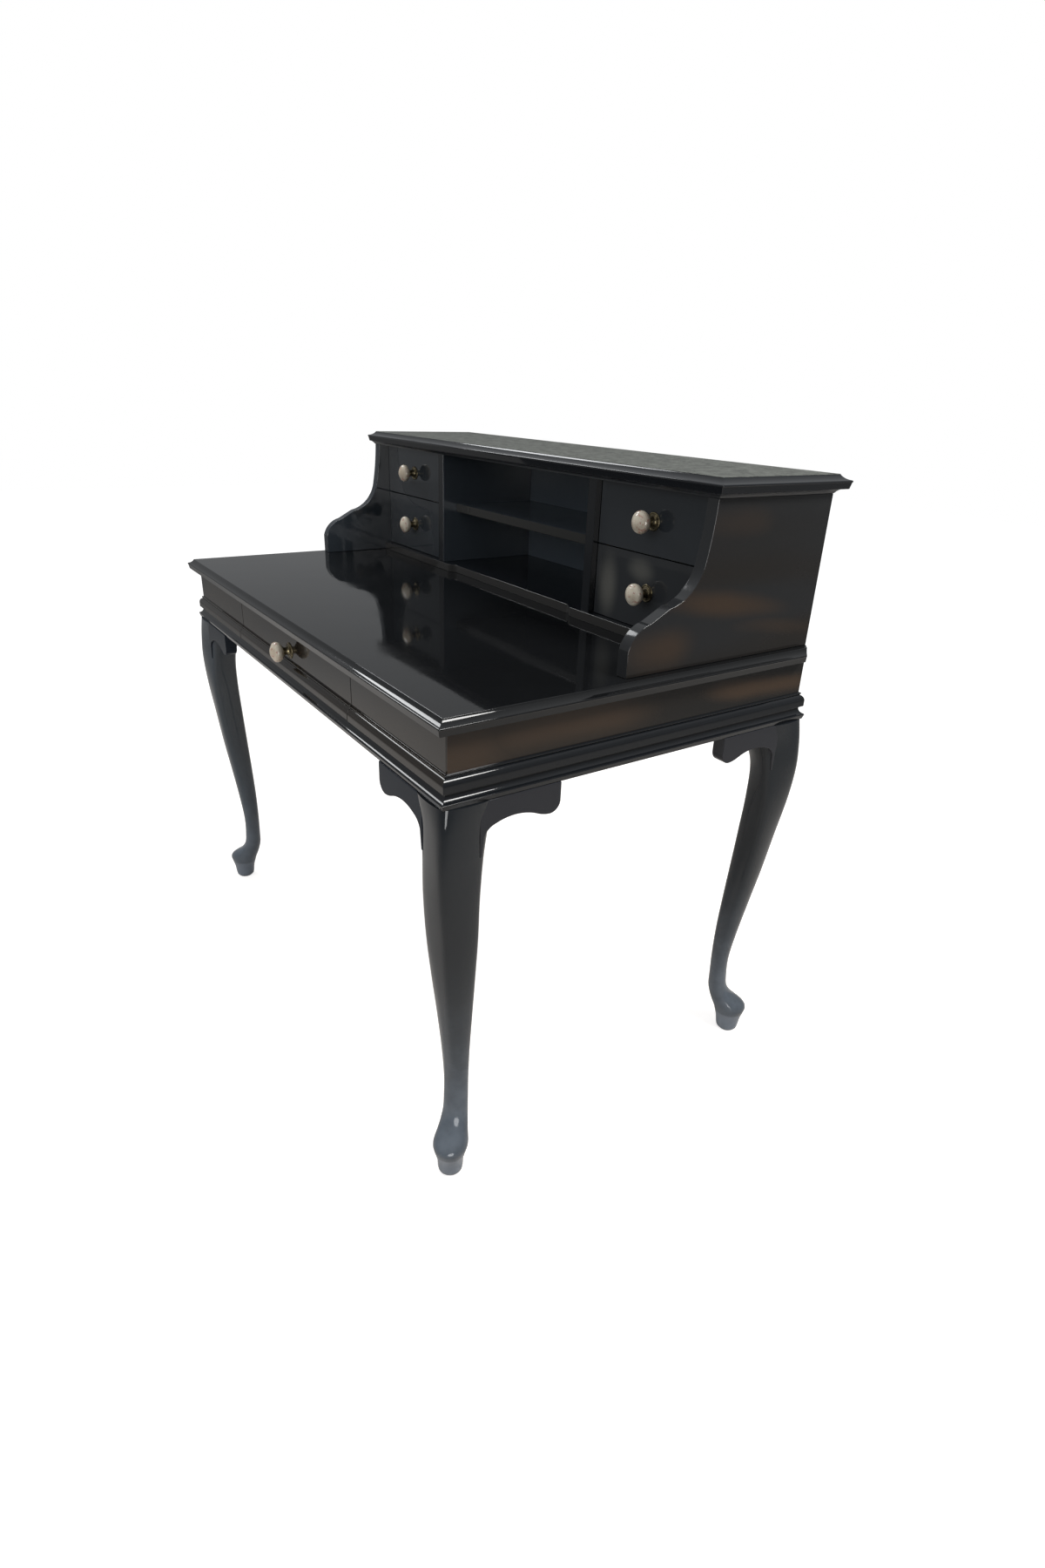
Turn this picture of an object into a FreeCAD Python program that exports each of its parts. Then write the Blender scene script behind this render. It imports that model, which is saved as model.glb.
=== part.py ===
import FreeCAD, Part
import math
import os

# Bonheur du jour: a lacquered writing desk on four cabriole legs, with one
# drawer in the frieze and a small stage of four drawers at the back of the top.
# X runs to the right as seen from the front, Y to the back, Z up.
# The origin is on the floor, at the middle of the whole outline.

os.makedirs("parts", exist_ok=True)
Vector = FreeCAD.Vector

# ---- overall sizes, mm
carcaseWidth = 1050.0        # frieze, over its two side faces
carcaseDepth = 643.0         # frieze, over its front and back faces
writingHeight = 760.0        # top surface of the desk
stageHeight = 251.0          # from the desk's top surface to the top of the stage
railUnderside = 640.0        # underside of the moulded rail, top of the knees

# ---- boards
deskTopThickness = 20.0
friezeThickness = 18.0
friezeLip = 2.5              # the front boards cover the ends of the side boards by this much
stageSideThickness = 20.0
stageTopThickness = 20.0
stageBaseThickness = 15.0
partitionThickness = 20.0
shelfThickness = 16.0
stageBackThickness = 8.0
dustBoardThickness = 6.0

# ---- moulded edge of both tops
deskOverhang = 19.5          # frieze face to the nose of the desk top
deskEdgeInset = 10.5         # nose to the upper arris
stageOverhang = 14.0         # stage side to the nose of the stage top
stageEdgeInset = 13.5
stageTopFront = -11.5        # nose of the stage top, from the front of the stage sides
stageTopBack = 22.0          # nose of the stage top, behind the stage
noseDrop = 9.5               # top surface to the widest line of the nose
noseRadius = 1.6
noseUndercut = 3.0           # how far the nose falls back to the underside
arrisRadius = 1.2            # soft upper edge of both tops
coveHeight = 6.0             # small cove under the stage top
coveReach = 6.0
coveStep = 0.6               # flat lip above and below the cove's hollow
backCornerCant = 22.0        # the moulding dies out on a cant at the back corners

# ---- base mouldings
railHeight = 21.0
railReach = 10.7
railArrisRise = 7.35         # rail's underside to its sharp outer arris
railFallBack = 2.0           # how far the face under the arris falls back
beadHeight = 19.0
beadReach = 8.0
beadSoftening = 0.8          # rounding of the bead's lower edge
filletHeight = 4.0
filletReach = 2.5

# ---- legs and knee brackets
legPost = 62.0               # side of the square at the top of the leg
stubPost = 44.0              # side of the post inside the frieze
padRadius = 15.0             # where the foot meets the floor
footMiddle = 20.0            # carcase corner to the middle of the pad, on the diagonal
sectionPoints = 32           # points round each cross-section of a leg
bracketLength = 107.0
bracketDepth = 43.5          # rail underside to the lowest point of the bracket's ear
bracketHollow = 13.0         # rise of the hollow above that point
bracketCorner = 17.0
bracketTail = 36.0           # how far the bracket runs down the leg below its ear
bracketTenon = 18.0          # part of the bracket that is let into the leg
bracketThickness = 22.0
bracketProjection = 10.0     # its face in front of the carcase, just proud of the rail's lower edge

# ---- stage
stageDepth = 234.0           # stage sides at the top, from front edge to back
stageInset = 3.0             # stage sides behind the frieze's side faces
toeReach = 133.5             # toe of the stage sides, in front of their front edge at the top
toeHeight = 36.0             # straight front of the toe
partitionOffset = 234.0      # middle of the stage to the inner face of each partition
partitionSetback = 11.5      # behind the front edge of the stage sides
baseSetback = 8.0
drawerSetback = 22.5
shelfSetback = 42.5
shelfRise = 99.0             # shelf underside above the base board
lowerDrawerHeight = 112.0
recessDepth = 9.0            # shallow recess in the front of the base board
recessMargin = 22.0          # partition to the start of the recess
recessRun = 26.0             # length of each ogee end

# ---- drawers
frontGap = 1.0               # around each drawer front
runClearance = 0.3           # under a drawer, where it slides
sideClearance = 1.0          # beside a drawer box
writingDrawerHalf = 250.0    # half the width of its opening
writingDrawerLength = 470.0
writingFrontThickness = 18.0
smallFrontThickness = 15.0
drawerWall = 9.0
drawerTopGap = 5.0
bottomThickness = 4.0
bottomRise = 6.0             # lower edge of the walls to the bottom panel
grooveDepth = 4.0
grooveClearance = 0.15
drawerBackGap = 8.0
runnerWidth = 50.0
runnerThickness = 18.0
runnerTop = 2.0              # above the rail
guideHeight = 26.0

# ---- knobs
knobDiameter = 33.5
knobDepth = 19.5
collarLength = 13.5          # writing drawer
smallCollarLength = 16.5
roseDiameter = 27.0
roseThickness = 2.5
neckDiameter = 12.0
cupDiameter = 19.0
studDiameter = 4.0
studClearance = 0.1
spigotLength = 8.0
nutDiameter = 9.0
nutThickness = 3.0
studOverrun = 2.0            # stud past the nut

# ---- blocks and screws
blockSide = 20.0
blockLength = 60.0
sideBlockSpacing = 200.0     # between the two blocks on each side
backBlockSpacing = 700.0     # between the two blocks at the back
stageScrewSpacing = 262.5
stageScrewInset = 93.6       # stage back to its screws
screwDiameter = 4.0
screwHeadDiameter = 8.0
screwHeadThickness = 3.0
screwBite = 10.0             # depth of the hole in the board above
screwTipGap = 1.0            # screw's tip to the end of that hole
pilotClearance = 0.1

# ---- derived places
spare = 5.0                  # how far a cutting or trimmed block runs past its neighbour
halfCarcase = carcaseWidth / 2
knobProjection = collarLength + knobDepth
carcaseFront = -(carcaseDepth + stageTopBack - knobProjection) / 2
carcaseBack = carcaseFront + carcaseDepth
carcaseMiddle = (carcaseFront + carcaseBack) / 2
deskUnderside = writingHeight - deskTopThickness
railTop = railUnderside + railHeight
innerHalf = halfCarcase - friezeThickness
innerFront = carcaseFront + friezeThickness
innerBack = carcaseBack - friezeThickness
stageSideOuter = halfCarcase - stageInset
stageSideInner = stageSideOuter - stageSideThickness
stageBack = carcaseBack
stageFront = stageBack - stageDepth
stageTopSurface = writingHeight + stageHeight
stageTopUnderside = stageTopSurface - stageTopThickness
stageCeiling = stageTopUnderside - coveHeight
stageFloor = writingHeight + stageBaseThickness
stageInnerBack = stageBack - stageBackThickness
partitionOuter = partitionOffset + partitionThickness
baseFront = stageFront + baseSetback
drawerFace = stageFront + drawerSetback
holeDiameter = screwDiameter + 2 * pilotClearance
studHole = studDiameter + 2 * studClearance
up = Vector(0, 0, 1)
backwards = Vector(0, 1, 0)


def box(x0, x1, y0, y1, z0, z1):
    return Part.makeBox(x1 - x0, y1 - y0, z1 - z0, Vector(x0, y0, z0))


def fuse(pieces):
    joined = pieces[0].fuse(pieces[1:])
    return joined.removeSplitter()


def face(start, steps, place):
    """start is (u, v); a step is [end] for a line or [middle, end] for an arc."""
    edges = []
    here = start
    for step in steps:
        end = step[-1]
        if len(step) == 1:
            edge = Part.makeLine(place(*here), place(*end))
        else:
            edge = Part.Arc(place(*here), place(*step[0]), place(*end)).toShape()
        edges.append(edge)
        here = end
    if here != start:
        edges.append(Part.makeLine(place(*here), place(*start)))
    return Part.Face(Part.Wire(edges))


def alongX(start, steps, x0, x1):
    section = face(start, steps, lambda u, v: Vector(x0, u, v))
    return section.extrude(Vector(x1 - x0, 0, 0))


def alongY(start, steps, y0, y1):
    section = face(start, steps, lambda u, v: Vector(u, y0, v))
    return section.extrude(Vector(0, y1 - y0, 0))


def plan(start, steps, z0, z1):
    section = face(start, steps, lambda u, v: Vector(u, v, z0))
    return section.extrude(Vector(0, 0, z1 - z0))


def mirrorX(shape):
    return shape.mirror(Vector(0, 0, 0), Vector(1, 0, 0))


def mirrorY(shape, middle):
    return shape.mirror(Vector(0, middle, 0), Vector(0, 1, 0))


def rod(diameter, length, base, direction):
    return Part.makeCylinder(diameter / 2, length, base, direction)


def save(name, solids):
    if not isinstance(solids, list):
        solids = [solids]
    shape = solids[0] if len(solids) == 1 else Part.makeCompound(solids)
    shape.exportStep("parts/" + name + ".step")


# ---- moulded tops ------------------------------------------------------------

def nosedEdge(nose, inset, sign, top, bottom):
    """One moulded edge: upper arris, hollow, nose and undercut, from top to bottom."""
    def at(inward, z):
        return (nose - sign * inward, z)
    widest = top - noseDrop
    soft = 0.29 * arrisRadius
    return at(inset + arrisRadius, top), [
        [at(inset + soft, top - soft), at(inset, top - arrisRadius)],
        [at(0.58 * inset, top - 0.62 * noseDrop), at(noseRadius, widest + noseRadius)],
        [at(0.0, widest), at(0.5 * noseRadius, widest - noseRadius)],
        [at(noseUndercut, bottom)],
    ]


def mouldedSlab(halfWidth, front, back, inset, top, bottom, mouldedBack):
    start, edge = nosedEdge(halfWidth, inset, 1, top, bottom)
    leftStart, leftEdge = nosedEdge(-halfWidth, inset, -1, top, bottom)
    sides = outlineAcross(start, edge, leftStart, leftEdge)
    across = alongY(start, sides, front - spare, back + spare)
    frontStart, frontEdge = nosedEdge(front, inset, -1, top, bottom)
    if mouldedBack:
        backStart, backEdge = nosedEdge(back, inset, 1, top, bottom)
    else:
        backStart = (back, top)
        backEdge = [[(back, bottom)]]
    ends = outlineAcross(backStart, backEdge, frontStart, frontEdge)
    deep = alongX(backStart, ends, -halfWidth - spare, halfWidth + spare)
    return across.common(deep)


def outlineAcross(start, steps, otherStart, otherSteps):
    """Closes two facing edges into one section: down one edge, up the other."""
    points = [otherStart] + [step[-1] for step in otherSteps]
    back = [[points[-1]]]
    for index in range(len(otherSteps) - 1, -1, -1):
        step = otherSteps[index]
        end = points[index]
        back.append([end] if len(step) == 1 else [step[0], end])
    return steps + back


def deskTop():
    noseHalf = halfCarcase + deskOverhang
    slab = mouldedSlab(noseHalf, carcaseFront - deskOverhang, carcaseBack,
                       deskEdgeInset, writingHeight, deskUnderside, False)
    far = carcaseBack + spare
    cutLength = backCornerCant + 2 * spare
    for side in (-1, 1):
        corner = side * (noseHalf + spare)
        cant = plan((corner, far), [[(corner, far - cutLength)], [(corner - side * cutLength, far)]],
                    deskUnderside - spare, writingHeight + spare)
        slab = slab.cut(cant)
    for x, y in blockPlaces():
        slab = slab.cut(rod(holeDiameter, screwBite, Vector(x, y, deskUnderside), up))
    for x, y in stageScrewPlaces():
        slab = slab.cut(rod(holeDiameter, deskTopThickness, Vector(x, y, deskUnderside), up))
    return slab


def stageTop():
    noseHalf = stageSideOuter + stageOverhang
    front = stageFront + stageTopFront
    back = stageBack + stageTopBack
    slab = mouldedSlab(noseHalf, front, back, stageEdgeInset, stageTopSurface, stageTopUnderside, True)
    cove = coveBlock(stageSideOuter, stageFront, stageBack)
    return fuse([slab, cove])


def coveBlock(halfWidth, front, back):
    """Low block under the top, with a hollow edge all round."""
    top = stageTopUnderside
    bottom = stageCeiling
    def hollow(at, sign):
        outer = at + sign * coveReach
        inner = at + sign * coveStep
        halfway = inner + sign * 0.28 * (coveReach - coveStep)
        middle = (halfway, top - 0.72 * (coveHeight - coveStep))
        return (outer, top), [[(outer, top - coveStep)], [middle, (inner, bottom)]]
    start, right = hollow(halfWidth, 1)
    otherStart, left = hollow(-halfWidth, -1)
    reach = coveReach + spare
    across = alongY(start, outlineAcross(start, right, otherStart, left), front - reach, back + reach)
    backStart, rear = hollow(back, 1)
    frontStart, fore = hollow(front, -1)
    reach = halfWidth + reach
    deep = alongX(backStart, outlineAcross(backStart, rear, frontStart, fore), -reach, reach)
    return across.common(deep)


# ---- frieze and base mouldings -----------------------------------------------

def runAlong(side, start, steps):
    """A moulding of the given section, u outwards from the carcase face, along one side."""
    reach = 2 * railReach
    if side in ("left", "right"):
        sign = -1 if side == "left" else 1
        moved = shiftSection(start, steps, sign * halfCarcase, sign)
        return alongY(moved[0], moved[1], carcaseFront - reach, carcaseBack + reach)
    sign = -1 if side == "front" else 1
    origin = carcaseFront if side == "front" else carcaseBack
    moved = shiftSection(start, steps, origin, sign)
    return alongX(moved[0], moved[1], -halfCarcase - reach, halfCarcase + reach)


def shiftSection(start, steps, origin, sign):
    def move(point):
        return (origin + sign * point[0], point[1])
    return move(start), [[move(point) for point in step] for step in steps]


def mitreWedge(side):
    """Everything nearer to this side of the carcase than to the next, cut on the mitre."""
    out = 2 * railReach
    inward = friezeThickness
    left = -halfCarcase
    right = halfCarcase
    front = carcaseFront
    back = carcaseBack
    outer = [(left - out, front - out), (right + out, front - out),
             (right + out, back + out), (left - out, back + out)]
    inner = [(left + inward, front + inward), (right - inward, front + inward),
             (right - inward, back - inward), (left + inward, back - inward)]
    index = ["front", "right", "back", "left"].index(side)
    following = (index + 1) % 4
    start = outer[index]
    steps = [[outer[following]], [inner[following]], [inner[index]]]
    return plan(start, steps, railUnderside - spare, writingHeight)


def beadSection():
    """Small fillet over a quarter-round bead."""
    base = railTop
    top = base + beadHeight
    soft = 0.29 * beadSoftening
    step = 0.15 * filletHeight
    start = (0.0, base)
    steps = [
        [(beadReach - beadSoftening, base)],
        [(beadReach - soft, base + soft), (beadReach, base + beadSoftening)],
        [(beadReach, base + 0.42 * beadHeight)],
        [(0.72 * beadReach, base + 0.83 * beadHeight), (0.19 * beadReach, top)],
        [(filletReach, top + step)],
        [(1.2 * filletReach, top + 0.5 * filletHeight), (filletReach, top + filletHeight - step)],
        [(0.0, top + filletHeight)],
    ]
    return start, steps


def railSection():
    """Hollow above, sharp outer arris, then a face that falls back."""
    base = railUnderside
    arris = base + railArrisRise
    hollow = railHeight - railArrisRise
    start = (-friezeThickness, base)
    steps = [
        [(railReach - railFallBack, base)],
        [(railReach, arris)],
        [(0.93 * railReach, arris + 0.1 * hollow)],
        [(0.33 * railReach, arris + 0.52 * hollow), (0.3 * railReach, railTop)],
        [(-friezeThickness, railTop)],
    ]
    return start, steps


def mouldingRun(side, section):
    start, steps = section
    return runAlong(side, start, steps).common(mitreWedge(side))


def frontBead():
    return mouldingRun("front", beadSection())


def friezeFrontRight():
    gapEdge = writingDrawerHalf
    board = box(gapEdge, innerHalf, carcaseFront, innerFront, railTop, deskUnderside)
    lip = box(innerHalf, halfCarcase, carcaseFront, carcaseFront + friezeLip, railTop, deskUnderside)
    reach = 2 * railReach
    bead = frontBead().common(box(gapEdge, halfCarcase + reach, carcaseFront - reach, innerFront,
                                  railTop, deskUnderside))
    return fuse([board, lip, bead])


def friezeSideRight():
    front = carcaseFront + friezeLip
    back = carcaseBack - friezeLip
    return box(innerHalf, halfCarcase, front, back, railTop, deskUnderside)


def friezeBack():
    board = box(-innerHalf, innerHalf, innerBack, carcaseBack, railTop, deskUnderside)
    lip = box(-halfCarcase, halfCarcase, carcaseBack - friezeLip, carcaseBack, railTop, deskUnderside)
    return fuse([board, lip])


def drawerRunnerRight():
    inner = writingDrawerHalf - runnerWidth / 2
    outer = writingDrawerHalf + runnerWidth / 2
    top = railTop + runnerTop
    ledge = box(inner, outer, innerFront, innerBack, top - runnerThickness, top)
    guide = box(writingDrawerHalf, outer, innerFront, innerBack, top, top + guideHeight)
    return fuse([ledge, guide])


# ---- blocks and screws -------------------------------------------------------

def blockPlaces():
    """Middle of each block under the desk top, against the sides and the back."""
    return sideBlockPlaces() + backBlockPlaces()


def sideBlockPlaces():
    x = innerHalf - blockSide / 2
    y = sideBlockSpacing / 2
    return [(side * x, carcaseMiddle + end * y) for side in (-1, 1) for end in (-1, 1)]


def backBlockPlaces():
    x = backBlockSpacing / 2
    return [(side * x, innerBack - blockSide / 2) for side in (-1, 1)]


def stageScrewPlaces():
    x = stageScrewSpacing / 2
    return [(side * x, stageBack - stageScrewInset) for side in (-1, 1)]


def block(x, y, lengthX, lengthY):
    bottom = deskUnderside - blockSide
    wood = box(x - lengthX / 2, x + lengthX / 2, y - lengthY / 2, y + lengthY / 2, bottom, deskUnderside)
    return wood.cut(rod(holeDiameter, blockSide, Vector(x, y, bottom), up))


def cornerBlocks():
    blocks = [block(x, y, blockSide, blockLength) for x, y in sideBlockPlaces()]
    blocks += [block(x, y, blockLength, blockSide) for x, y in backBlockPlaces()]
    return blocks


def screw(x, y, headZ, length):
    """A screw driven upwards, the underside of its head at headZ."""
    shank = rod(screwDiameter, length, Vector(x, y, headZ), up)
    head = rod(screwHeadDiameter, screwHeadThickness, Vector(x, y, headZ - screwHeadThickness), up)
    return fuse([shank, head])


def woodScrews():
    tip = screwBite - screwTipGap
    screws = [screw(x, y, deskUnderside - blockSide, blockSide + tip) for x, y in blockPlaces()]
    screws += [screw(x, y, deskUnderside, deskTopThickness + tip) for x, y in stageScrewPlaces()]
    return screws


# ---- legs --------------------------------------------------------------------

def legStations():
    """Height up the leg, then in the diagonal plane: outer line, middle and inner line,
    measured inwards from the carcase corner; half the width; and how square the section is."""
    h = railUnderside
    half = legPost / math.sqrt(2)
    foot = footMiddle
    pad = padRadius
    return [
        (0.0, foot - pad, foot, foot + pad, pad, 2.0),
        (4.0, foot - 19.0, foot, foot + 19.0, 18.5, 2.0),
        (26.0, foot - 22.5, foot + 0.5, foot + 23.0, 20.5, 2.0),
        (46.0, foot - 27.5, foot + 1.0, foot + 29.0, 25.5, 2.0),
        (53.0, foot - 28.5, foot + 1.5, foot + 31.5, 26.8, 2.0),
        (59.0, foot - 25.0, foot + 4.0, foot + 34.5, 26.0, 2.0),
        (67.0, foot - 14.5, foot + 11.0, foot + 38.0, 23.8, 2.0),
        (78.0, foot + 0.5, foot + 20.0, foot + 42.0, 21.5, 2.0),
        (94.0, foot + 11.5, foot + 28.5, foot + 46.0, 19.6, 1.95),
        (0.18 * h, 35.5, 51.5, 67.0, 19.0, 1.9),
        (0.25 * h, 37.0, 52.5, 68.5, 19.0, 1.8),
        (0.34 * h, 30.0, 49.0, 68.5, 21.5, 1.65),
        (0.45 * h, 18.5, 43.0, 65.5, 26.5, 1.5),
        (0.55 * h, 7.5, 36.0, 62.0, 31.5, 1.4),
        (0.67 * h, -4.0, 29.0, 58.0, 37.0, 1.3),
        (0.78 * h, -15.0, 26.0, 55.0, 39.5, 1.25),
        (0.87 * h, -20.0, 33.0, 57.0, 41.5, 1.2),
        (0.94 * h, -17.0, 40.0, 72.0, 1.03 * half, 1.2),
        (h, -10.0, 0.87 * half, 2 * half - 3.0, 1.12 * half, 1.25),
    ]


def legSection(station, cornerX, cornerY, inX, inY):
    height, outer, middle, inner, halfWidth, power = station
    points = []
    diagonal = math.sqrt(2)
    for step in range(sectionPoints):
        angle = 2 * math.pi * step / sectionPoints
        along = math.cos(angle)
        across = math.sin(angle)
        depth = (inner - middle) if along > 0 else (middle - outer)
        scale = (abs(along / depth) ** power + abs(across / halfWidth) ** power) ** (-1 / power)
        inwards = middle + scale * along
        sideways = scale * across
        x = cornerX + (inwards * inX - sideways * inY) / diagonal
        y = cornerY + (inwards * inY + sideways * inX) / diagonal
        points.append(Vector(x, y, height))
    curve = Part.BSplineCurve()
    curve.interpolate(Points=points, PeriodicFlag=True)
    return Part.Wire([curve.toShape()])


def leg(sideX, sideY):
    cornerX = sideX * halfCarcase
    cornerY = carcaseFront if sideY < 0 else carcaseBack
    wires = [legSection(station, cornerX, cornerY, -sideX, -sideY) for station in legStations()]
    shaped = Part.makeLoft(wires, True, False)
    nearX = cornerX - sideX * friezeThickness
    nearY = cornerY - sideY * friezeThickness
    farX = nearX - sideX * stubPost
    farY = nearY - sideY * stubPost
    stub = box(min(nearX, farX), max(nearX, farX), min(nearY, farY), max(nearY, farY),
               railUnderside - spare, deskUnderside)
    return shaped.fuse(stub)


def bracketOutline():
    """u away from the leg, v down from the rail's underside, as negative heights."""
    low = -bracketDepth
    end = bracketLength
    corner = bracketCorner
    slack = 0.29 * corner
    hollow = low + bracketHollow
    start = (-bracketTenon, 0.0)
    steps = [
        [(end, 0.0)],
        [(end, low + corner)],
        [(end - slack, low + slack), (end - corner, low)],
        [(0.75 * end, low + 0.12 * bracketHollow), (0.65 * end, low + 0.42 * bracketHollow)],
        [(0.35 * end, hollow), (0.04 * end, low + 0.55 * bracketHollow)],
        [(-0.3 * bracketTenon, low + 0.12 * bracketHollow), (-0.62 * bracketTenon, low - 0.2 * bracketTail)],
        [(-0.8 * bracketTenon, low - bracketTail)],
        [(-bracketTenon, low - bracketTail)],
    ]
    return start, steps


def bracketAlong(sideX, sideY, alongFront, legShape):
    """One knee bracket, running from the leg along the front or back, or along a side."""
    cornerX = sideX * halfCarcase
    cornerY = carcaseFront if sideY < 0 else carcaseBack
    start, steps = bracketOutline()
    if alongFront:
        faceY = cornerY + sideY * bracketProjection
        def place(u, v):
            return Vector(cornerX - sideX * (legPost + u), faceY, railUnderside + v)
        board = face(start, steps, place).extrude(Vector(0, -sideY * bracketThickness, 0))
    else:
        faceX = cornerX + sideX * bracketProjection
        def place(u, v):
            return Vector(faceX, cornerY - sideY * (legPost + u), railUnderside + v)
        board = face(start, steps, place).extrude(Vector(-sideX * bracketThickness, 0, 0))
    return largest(board.cut(legShape))


def largest(shape):
    return max(shape.Solids, key=lambda solid: solid.Volume)


# ---- stage -------------------------------------------------------------------

def stageSideRight():
    """Upright toe, then an S-curve up and back to the top."""
    toe = stageFront - toeReach
    toeTop = writingHeight + toeHeight
    rise = stageCeiling - toeTop
    def at(reach, height):
        return (toe + reach * toeReach, toeTop + height * rise)
    start = (toe, writingHeight)
    steps = [
        [(toe, toeTop)],
        [at(0.08, 0.105), at(0.27, 0.183)],
        [at(0.51, 0.272)],
        [at(0.80, 0.384), at(0.933, 0.577)],
        [at(0.981, 0.804), (stageFront, stageCeiling)],
        [(stageBack, stageCeiling)],
        [(stageBack, writingHeight)],
    ]
    return alongX(start, steps, stageSideInner, stageSideOuter)


def stageBase():
    """Board between the stage sides, its front edge set back in the middle on two ogee ends."""
    outerEnd = partitionOffset - recessMargin
    innerEnd = outerEnd - recessRun
    def ogee(run, depth):
        return (outerEnd - run * recessRun, baseFront + depth * recessDepth)
    ends = [(outerEnd, baseFront), ogee(0.32, 0.18), ogee(0.5, 0.5), ogee(0.68, 0.82),
            (innerEnd, baseFront + recessDepth)]
    other = [(-x, y) for x, y in ends]
    start = (stageSideInner, baseFront)
    steps = [
        [(stageSideInner, stageBack)],
        [(-stageSideInner, stageBack)],
        [(-stageSideInner, baseFront)],
        [other[0]],
        [other[1], other[2]],
        [other[3], other[4]],
        [ends[4]],
        [ends[3], ends[2]],
        [ends[1], ends[0]],
    ]
    board = plan(start, steps, writingHeight, stageFloor)
    for x, y in stageScrewPlaces():
        board = board.cut(rod(holeDiameter, screwBite, Vector(x, y, writingHeight), up))
    return board


def partitionRight():
    front = stageFront + partitionSetback
    return box(partitionOffset, partitionOuter, front, stageInnerBack, stageFloor, stageCeiling)


def centreShelf():
    low = stageFloor + shelfRise
    return box(-partitionOffset, partitionOffset, stageFront + shelfSetback, stageInnerBack,
               low, low + shelfThickness)


def stageBackBoard():
    return box(-stageSideInner, stageSideInner, stageInnerBack, stageBack, stageFloor, stageCeiling)


def dustBoardRight():
    top = stageFloor + lowerDrawerHeight
    front = drawerFace + smallFrontThickness + sideClearance
    return box(partitionOuter, stageSideInner, front, stageInnerBack, top - dustBoardThickness, top)


# ---- drawers -----------------------------------------------------------------

def drawerWalls(x0, x1, y0, y1, z0, z1):
    """Two sides and a back, grooved for the bottom panel."""
    wall = drawerWall
    edge = wall - grooveDepth
    groove = bottomGroove(x0 + edge, x1 - edge, y0 - spare, y1 - edge, z0)
    left = box(x0, x0 + wall, y0, y1, z0, z1)
    right = box(x1 - wall, x1, y0, y1, z0, z1)
    back = box(x0 + wall, x1 - wall, y1 - wall, y1, z0, z1)
    return [piece.cut(groove) for piece in (left, right, back)]


def bottomGroove(x0, x1, y0, y1, z0):
    low = z0 + bottomRise - grooveClearance
    return box(x0, x1, y0, y1, low, low + bottomThickness + 2 * grooveClearance)


def drawerBottom(x0, x1, y0, y1, z0):
    """The panel lies in the grooves of the walls and in a groove of the front."""
    edge = drawerWall - grooveDepth + grooveClearance
    return box(x0 + edge, x1 - edge, y0 - grooveDepth + grooveClearance, y1 - edge,
               z0 + bottomRise, z0 + bottomRise + bottomThickness)


def boredFront(front, x0, x1, faceY, z0, knobZ, thickness):
    """Face board with the groove for the bottom panel and the bore for the knob's stud."""
    edge = drawerWall - grooveDepth
    inner = faceY + thickness
    groove = bottomGroove(x0 + edge, x1 - edge, inner - grooveDepth, inner + spare, z0)
    bore = rod(studHole, thickness + 2 * spare, Vector((x0 + x1) / 2, faceY - spare, knobZ), backwards)
    return front.cut(groove).cut(bore)


def turned(x, z, start, steps):
    """A turned piece about the line through x and z, u being its radius and v its place in Y."""
    section = face(start, steps, lambda u, v: Vector(x + u, v, z))
    return section.revolve(Vector(x, 0, z), backwards, 360)


def knobHead(x, near, z):
    """Porcelain mushroom head, hollow behind for the spigot of the collar."""
    radius = knobDiameter / 2
    rim = near - 0.45 * knobDepth
    tip = near - knobDepth
    crown = 1.12 * radius
    shoulder = 0.72 * radius
    def crownAt(u):
        return tip + crown - math.sqrt(crown ** 2 - u ** 2)
    steps = [
        [(0.88 * cupDiameter / 2, near)],
        [(0.86 * radius, near - 0.14 * knobDepth), (radius, rim)],
        [(0.925 * radius, crownAt(0.87 * radius)), (shoulder, crownAt(shoulder))],
        [(0.4 * radius, crownAt(0.4 * radius)), (0.0, tip)],
    ]
    head = turned(x, z, (0.0, near), steps)
    return head.cut(rod(studHole, spigotLength + studClearance, Vector(x, near, z), -backwards))


def knobCollar(x, faceY, z, thickness, length):
    """Brass rose, neck and cup on a stud through the front, with its nut inside."""
    near = faceY - length
    rose = roseDiameter / 2
    neck = neckDiameter / 2
    cup = cupDiameter / 2
    neckRoot = faceY - 1.3 * roseThickness
    overlap = 0.1 * length
    steps = [
        [(rose, faceY)],
        [(rose, faceY - 0.4 * roseThickness)],
        [(0.86 * rose, faceY - 0.9 * roseThickness), (1.17 * neck, neckRoot)],
        [(neck, faceY - 0.5 * length), (0.87 * cup, near + overlap)],
        [(cup, near + 0.5 * overlap), (0.94 * cup, near)],
        [(0.0, near)],
    ]
    body = turned(x, z, (0.0, faceY), steps)
    spigot = rod(studDiameter, spigotLength + overlap, Vector(x, near + overlap, z), -backwards)
    studLength = overlap + thickness + nutThickness + studOverrun
    stud = rod(studDiameter, studLength, Vector(x, faceY - overlap, z), backwards)
    nut = rod(nutDiameter, nutThickness, Vector(x, faceY + thickness, z), backwards)
    return fuse([body, spigot, stud, nut])


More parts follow.
